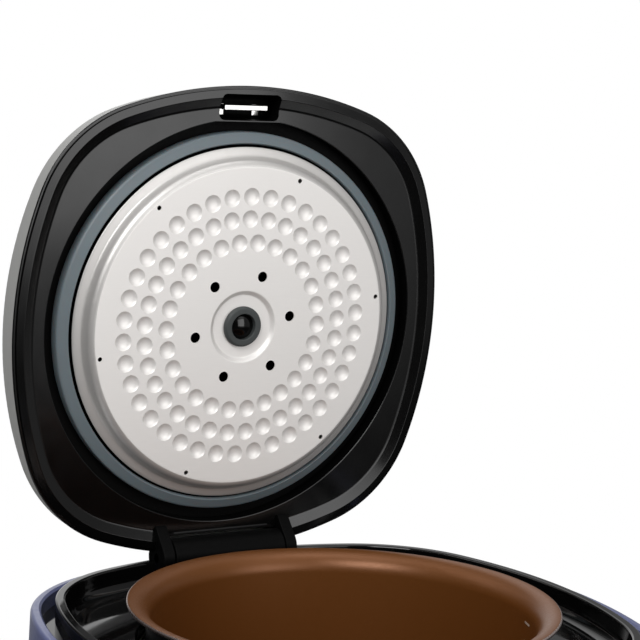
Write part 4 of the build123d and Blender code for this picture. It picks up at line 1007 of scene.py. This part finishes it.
class COOKER_OT_latch(bpy.types.Operator):
    """Models the steel striker in the lid's latch pocket"""

    bl_idname = "cooker.latch"
    bl_label = "Latch Striker"

    def execute(self, context):
        half = STRIKER_LENGTH / 2
        low = STRIKER_V - STRIKER_SIZE / 2
        high = STRIKER_V + STRIKER_SIZE / 2
        back = STRIKER_DEPTH - STRIKER_SIZE / 2
        front = STRIKER_DEPTH + STRIKER_SIZE / 2
        foot_low, foot_high = (STRIKER_V + reach for reach in STRIKER_FOOT_V)
        foot_front = POCKET_FLOOR + STRIKER_FOOT_SHEET
        parts = [block("bar", (-half, low, back), (half, high, front))]
        for start in (-half, half - STRIKER_LEG):
            end = start + STRIKER_LEG
            parts.append(block("leg", (start, low, POCKET_FLOOR), (end, high, STRIKER_DEPTH)))
        for start in (-half, half - STRIKER_FOOT):
            end = start + STRIKER_FOOT
            parts.append(block("foot", (start, foot_low, POCKET_FLOOR), (end, foot_high, foot_front)))
        parts = [soften(part, STRIKER_ROUND) for part in parts]
        hand_in(join("latch_striker_bar", parts), "lid", "steel", ["latch_striker"], place=LID)
        return {"FINISHED"}


class COOKER_OT_body_shell(bpy.types.Operator):
    """Models the lacquered body shell with its panel, opener and inlet windows"""

    bl_idname = "cooker.body_shell"
    bl_label = "Body Shell"

    def execute(self, context):
        rise = SHOULDER_Z - SHELL_BASE_Z
        heights = [SHELL_BASE_Z + rise * step / FLANK_STEPS for step in range(FLANK_STEPS + 1)]
        outside = [plan(flank(z), z) for z in heights]
        drop = SHELL_TOP_Z - SHOULDER_Z
        lean = flank(SHOULDER_Z) - RIM_OUTER_HALF
        for step in range(SHOULDER_STEPS):
            turn = radians(90 * (step + 1) / SHOULDER_STEPS)
            half = flank(SHOULDER_Z) - lean * (1 - cos(turn))
            outside.append(plan(half, SHOULDER_Z + drop * sin(turn)))
        top = [
            plan(RIM_INNER_HALF + RIM_CHAMFER, SHELL_TOP_Z),
            plan(RIM_INNER_HALF, SHELL_TOP_Z - RIM_CHAMFER),
            plan(RIM_INNER_HALF, SHELF_Z),
            plan(flank(SHELF_Z, -SHELL_WALL), SHELF_Z),
        ]
        lower = [z for z in reversed(heights[:-1]) if z < SHELF_Z - SHELL_WALL]
        inside = [plan(flank(z, -SHELL_WALL), z) for z in lower]
        shell = from_loops("outer_shell_moulding", outside + top + inside)
        far = BULGE_HALF + OVERRUN
        for half, low, high in (PANEL_WINDOW, OPENER_WINDOW):
            window = block("window", (-half, -far, low), (half, -WINDOW_DEPTH, high))
            combine(shell, window, "DIFFERENCE")
        half, low, high = INLET_WINDOW
        window = block("window", (-half, WINDOW_DEPTH, low), (half, far, high))
        combine(shell, round_along(window, 1, INLET_ROUND), "DIFFERENCE")
        hand_in(shell, "body", "body_blue", ["outer_shell"])
        return {"FINISHED"}


class COOKER_OT_top_frame(bpy.types.Operator):
    """Models the gloss frame round the pot: gutter, raised lip and trough"""

    bl_idname = "cooker.top_frame"
    bl_label = "Top Frame"

    def execute(self, context):
        round_edge = 2 * context.scene.cooker_sizes.edge_round
        foot = LIP_INNER_HALF - LIP_DRAFT - TROUGH_ROUND
        top = LIP_TOP_Z - LIP_ROUND
        loops = [ring(WELL_RADIUS, COLLAR_Z)]
        brink = (WELL_RADIUS + round_edge, SHELF_Z - round_edge)
        loops += arc(ring, brink, round_edge, 180, 90, EDGE_STEPS)
        loops += arc(plan, (foot, SHELF_Z + TROUGH_ROUND), TROUGH_ROUND, -90, 0, CORNER_STEPS)
        loops += arc(plan, (LIP_INNER_HALF + LIP_ROUND, top), LIP_ROUND, 180, 90, EDGE_STEPS)
        loops += arc(plan, (LIP_OUTER_HALF - LIP_ROUND, top), LIP_ROUND, 90, 0, EDGE_STEPS)
        loops += [
            plan(LIP_OUTER_HALF, SHELF_Z),
            plan(DECK_HALF, SHELF_Z),
            plan(DECK_HALF, DECK_Z),
            ring(WELL_RADIUS + SHELL_WALL, DECK_Z),
            ring(WELL_RADIUS + SHELL_WALL, COLLAR_Z),
        ]
        rim = from_loops("top_frame_moulding", loops)
        low = (-NOTCH_HALF, HINGE.y - HINGE_GAP, SHELF_Z)
        high = (NOTCH_HALF, HINGE.y + HINGE_GAP, LIP_TOP_Z + OVERRUN)
        for corners in ((low, high), HOOK_SLOT):
            combine(rim, block("gap", *corners), "DIFFERENCE")
        hand_in(rim, "body", "black_gloss", ["top_frame"])
        return {"FINISHED"}


class COOKER_OT_hinge(bpy.types.Operator):
    """Models the hinge block between the lid's ribs"""

    bl_idname = "cooker.hinge"
    bl_label = "Hinge Block"

    def execute(self, context):
        outline = arc_points((HINGE.y, HINGE.z), KNUCKLE_RADIUS, 0, 180, BARREL_STEPS)
        outline += [(HINGE.y - KNUCKLE_RADIUS, SHELF_Z), (HINGE.y + KNUCKLE_RADIUS, SHELF_Z)]
        hinge = soften(prism("hinge_block_barrel", outline, -BARREL_HALF, BARREL_HALF), FINE_ROUND)
        # The hinge block takes the dull black, painted shade
        hand_in(hinge, "body", "black_satin", ["hinge_block"], ["shaded_black"])
        return {"FINISHED"}


class COOKER_OT_pot(bpy.types.Operator):
    """Models the pot with its flared rim, bronze inside, dark outside and bare edge"""

    bl_idname = "cooker.pot"
    bl_label = "Inner Pot"

    def execute(self, context):
        inner = POT_RADIUS - POT_WALL
        inner_bend = POT_CORNER - POT_WALL
        heel = POT_FLOOR_Z + POT_CORNER
        lip = (POT_RIM_RADIUS - POT_WALL / 2, RIM_Z - POT_WALL / 2)
        start = RIM_Z - POT_FLARE
        loops = [ring(POLE, POT_FLOOR_Z), ring(POT_RADIUS - POT_CORNER, POT_FLOOR_Z)]
        loops += arc(ring, (POT_RADIUS - POT_CORNER, heel), POT_CORNER, -90, 0, CORNER_STEPS)[1:]
        loops += squashed_flare(POT_RADIUS, lip[0] - POT_RADIUS, start, POT_FLARE - POT_WALL)
        loops += arc(ring, lip, POT_WALL / 2, -90, 90, LIP_STEPS)[1:-1]
        loops += squashed_flare(inner, lip[0] - inner, start, POT_FLARE)[::-1]
        loops += arc(ring, (inner - inner_bend, heel), inner_bend, 0, -90, CORNER_STEPS)
        loops += [ring(POLE, POT_FLOOR_Z + POT_WALL)]
        pot = from_loops("inner_pot_bowl", loops)
        finishes = ["pot_copper", "pot_outside", "pot_edge"]
        for face in pot.data.polygons:
            out = face.center.xy.length
            outward = face.normal.xy.dot(face.center.xy) > OUTSIDE_LEAN * out
            if outward and out > lip[0] and face.center.z > RIM_Z - POT_WALL:
                face.material_index = finishes.index("pot_edge")
            elif outward or face.normal.z < UNDERSIDE_LEAN:
                face.material_index = finishes.index("pot_outside")
        hand_in(pot, "pot", "pot_copper", ["inner_pot"], finishes, angle=POT_SHARP)
        half = Vector((MARK_PROUD, MARK_WIDTH / 2, MARK_HEIGHT / 2))
        mark = block("mark", -half, half)
        heights = [MARK_TOP - MARK_GAP * step for step in range(MARK_COUNT)]
        marks = join("pot_level_marks", copies(mark, [Vector((inner, 0, z)) for z in heights]))
        turn = Matrix.Rotation(MARK_TURN, 4, "Z")
        hand_in(marks, "pot", "pot_copper", finishes=["pot_marks"], place=turn)
        return {"FINISHED"}


class COOKER_OT_springs(bpy.types.Operator):
    """Winds the sensor's and the latch's springs where their frame nodes stand"""

    bl_idname = "cooker.springs"
    bl_label = "Springs"

    def execute(self, context):
        low, high = (Vector(corner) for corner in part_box("sensor_spring"))
        length = high.z - low.z
        spring = coil("sensor_spring_coil", (high.x - low.x) / 2, SENSOR_WIRE, length, SENSOR_TURNS)
        foot = Vector(((low.x + high.x) / 2, (low.y + high.y) / 2, low.z))
        hand_in(spring, "body", "spring_steel", ["sensor_spring"], place=Matrix.Translation(foot))
        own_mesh(spring)
        low, high = (Vector(corner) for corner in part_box("latch_spring"))
        length = high.y - low.y
        spring = coil("latch_spring_coil", (high.x - low.x) / 2, LATCH_WIRE, length, LATCH_TURNS)
        seat = Vector(((low.x + high.x) / 2, high.y, (low.z + high.z) / 2))
        place = Matrix.Translation(seat) @ Matrix.Rotation(pi / 2, 4, "X")
        hand_in(spring, "body", "spring_steel", ["latch_spring"], place=place)
        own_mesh(spring)
        return {"FINISHED"}


class COOKER_OT_stage(bpy.types.Operator):
    """Sets the floor, the studio light and the camera"""

    bl_idname = "cooker.stage"
    bl_label = "Stage"

    def execute(self, context):
        scene = context.scene
        scene.view_settings.view_transform = "Standard"
        self.floor(scene.cooker_colours)
        self.sky(scene)
        for name, spot, size, power in LAMPS:
            bpy.ops.object.light_add(type="AREA", location=spot)
            lamp = context.object
            lamp.name = name
            lamp.data.shape = "SQUARE"
            lamp.data.size = size
            lamp.data.energy = power
            lamp.rotation_euler = (LAMP_AIM - Vector(spot)).to_track_quat("-Z", "Y").to_euler()
        back = Vector(
            (sin(VIEW_AZIMUTH) * cos(VIEW_RISE), -cos(VIEW_AZIMUTH) * cos(VIEW_RISE), sin(VIEW_RISE))
        )
        turned = (-back).to_track_quat("-Z", "Y") @ Quaternion((0, 0, 1), VIEW_ROLL)
        spot = VIEW_TARGET + back * VIEW_DISTANCE
        bpy.ops.object.camera_add(location=spot, rotation=turned.to_euler())
        scene.camera = context.object
        scene.camera.name = "photo_camera"
        scene.camera.data.sensor_width = SENSOR
        scene.camera.data.lens = LENS
        return {"FINISHED"}

    def floor(self, colours):
        """Pale round floor that fades to white where only the camera looks at it."""
        bpy.ops.mesh.primitive_circle_add(vertices=FLOOR_SEGMENTS, radius=FLOOR_RADIUS, fill_type="NGON")
        floor = bpy.context.object
        floor.name = "studio_floor"
        made, shader = new_material("matt_paper", colours.floor, 0.7)
        tree = made.node_tree
        place = add_node(tree, "ShaderNodeTexCoord").outputs["Object"]
        reach = add_node(tree, "ShaderNodeVectorMath", {0: place}, operation="LENGTH").outputs["Value"]
        fade = {"Value": reach, **dict(zip(RAMP, (*FLOOR_FADE, *FLOOR_GLOW)))}
        fade = add_node(tree, "ShaderNodeMapRange", fade, interpolation_type="SMOOTHSTEP")
        seen = add_node(tree, "ShaderNodeLightPath").outputs["Is Camera Ray"]
        fade = {0: fade.outputs["Result"], 1: seen}
        fade = add_node(tree, "ShaderNodeMath", fade, operation="MULTIPLY").outputs["Value"]
        glow = add_node(tree, "ShaderNodeEmission", {"Color": (1, 1, 1, 1)}).outputs["Emission"]
        both = add_node(tree, "ShaderNodeMixShader", {0: fade, 1: shader.outputs["BSDF"], 2: glow})
        tree.links.new(both.outputs["Shader"], tree.nodes["Material Output"].inputs["Surface"])
        floor.data.materials.append(made)
        floor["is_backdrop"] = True

    def sky(self, scene):
        """White for the camera, the studio's panels for reflections, an even fill for the rest."""
        scene.world = bpy.data.worlds.new("studio")
        scene.world.use_nodes = True
        tree = scene.world.node_tree
        path = add_node(tree, "ShaderNodeLightPath")
        way = add_node(tree, "ShaderNodeTexCoord").outputs["Generated"]
        way = add_node(tree, "ShaderNodeSeparateXYZ", {"Vector": way}).outputs
        panels = []
        for panel in SKY_PANELS:
            level = 1.0
            for axis, *ends in panel:
                inputs = {"Value": way[axis], **dict(zip(RAMP, ends))}
                ramp = add_node(tree, "ShaderNodeMapRange", inputs, interpolation_type="SMOOTHSTEP")
                inputs = {0: level, 1: ramp.outputs["Result"]}
                level = add_node(tree, "ShaderNodeMath", inputs, operation="MULTIPLY").outputs["Value"]
            panels.append(level)
        inputs = {0: panels[0], 1: panels[1]}
        mirrored = add_node(tree, "ShaderNodeMath", inputs, operation="MAXIMUM").outputs["Value"]
        inputs = {0: path.outputs["Is Glossy Ray"], 1: path.outputs["Is Transmission Ray"]}
        shiny = add_node(tree, "ShaderNodeMath", inputs, operation="MAXIMUM").outputs["Value"]
        inputs = {MIX_FACTOR: shiny, NUMBER_A: SKY_FILL, NUMBER_B: mirrored}
        level = add_node(tree, "ShaderNodeMix", inputs).outputs[NUMBER_RESULT]
        inputs = {MIX_FACTOR: path.outputs["Is Camera Ray"], NUMBER_A: level, NUMBER_B: 1.0}
        level = add_node(tree, "ShaderNodeMix", inputs).outputs[NUMBER_RESULT]
        tree.links.new(level, tree.nodes["Background"].inputs["Strength"])
        tree.nodes["Background"].inputs["Color"].default_value = (1, 1, 1, 1)


OPERATORS = [
    COOKER_OT_finishes,
    COOKER_OT_lid_liner,
    COOKER_OT_lid_plate,
    COOKER_OT_lid_seals,
    COOKER_OT_latch,
    COOKER_OT_body_shell,
    COOKER_OT_top_frame,
    COOKER_OT_hinge,
    COOKER_OT_pot,
    COOKER_OT_springs,
    COOKER_OT_stage,
]


class COOKER_PT_panel(bpy.types.Panel):
    """Sizes, colours and steps of the rice cooker"""

    bl_idname = "COOKER_PT_panel"
    bl_label = "Rice Cooker"
    bl_space_type = "VIEW_3D"
    bl_region_type = "UI"
    bl_category = "Cooker"

    def draw(self, context):
        for group in (context.scene.cooker_sizes, context.scene.cooker_colours):
            for name in group.__annotations__:
                self.layout.prop(group, name)
        for step in OPERATORS:
            self.layout.operator(step.bl_idname)


CLASSES = [CookerSizes, CookerColours, *OPERATORS, COOKER_PT_panel]


def register():
    for kind in CLASSES:
        bpy.utils.register_class(kind)
    bpy.types.Scene.cooker_sizes = PointerProperty(type=CookerSizes)
    bpy.types.Scene.cooker_colours = PointerProperty(type=CookerColours)


def unregister():
    del bpy.types.Scene.cooker_sizes
    del bpy.types.Scene.cooker_colours
    for kind in reversed(CLASSES):
        bpy.utils.unregister_class(kind)


def main():
    register()
    for step in OPERATORS:
        group, name = step.bl_idname.split(".")
        getattr(getattr(bpy.ops, group), name)()
    boxes = {"cad": CAD_BOX, "visual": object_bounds()}
    boxes = {name: [list(corner) for corner in box] for name, box in boxes.items()}


if __name__ == "__main__":
    main()
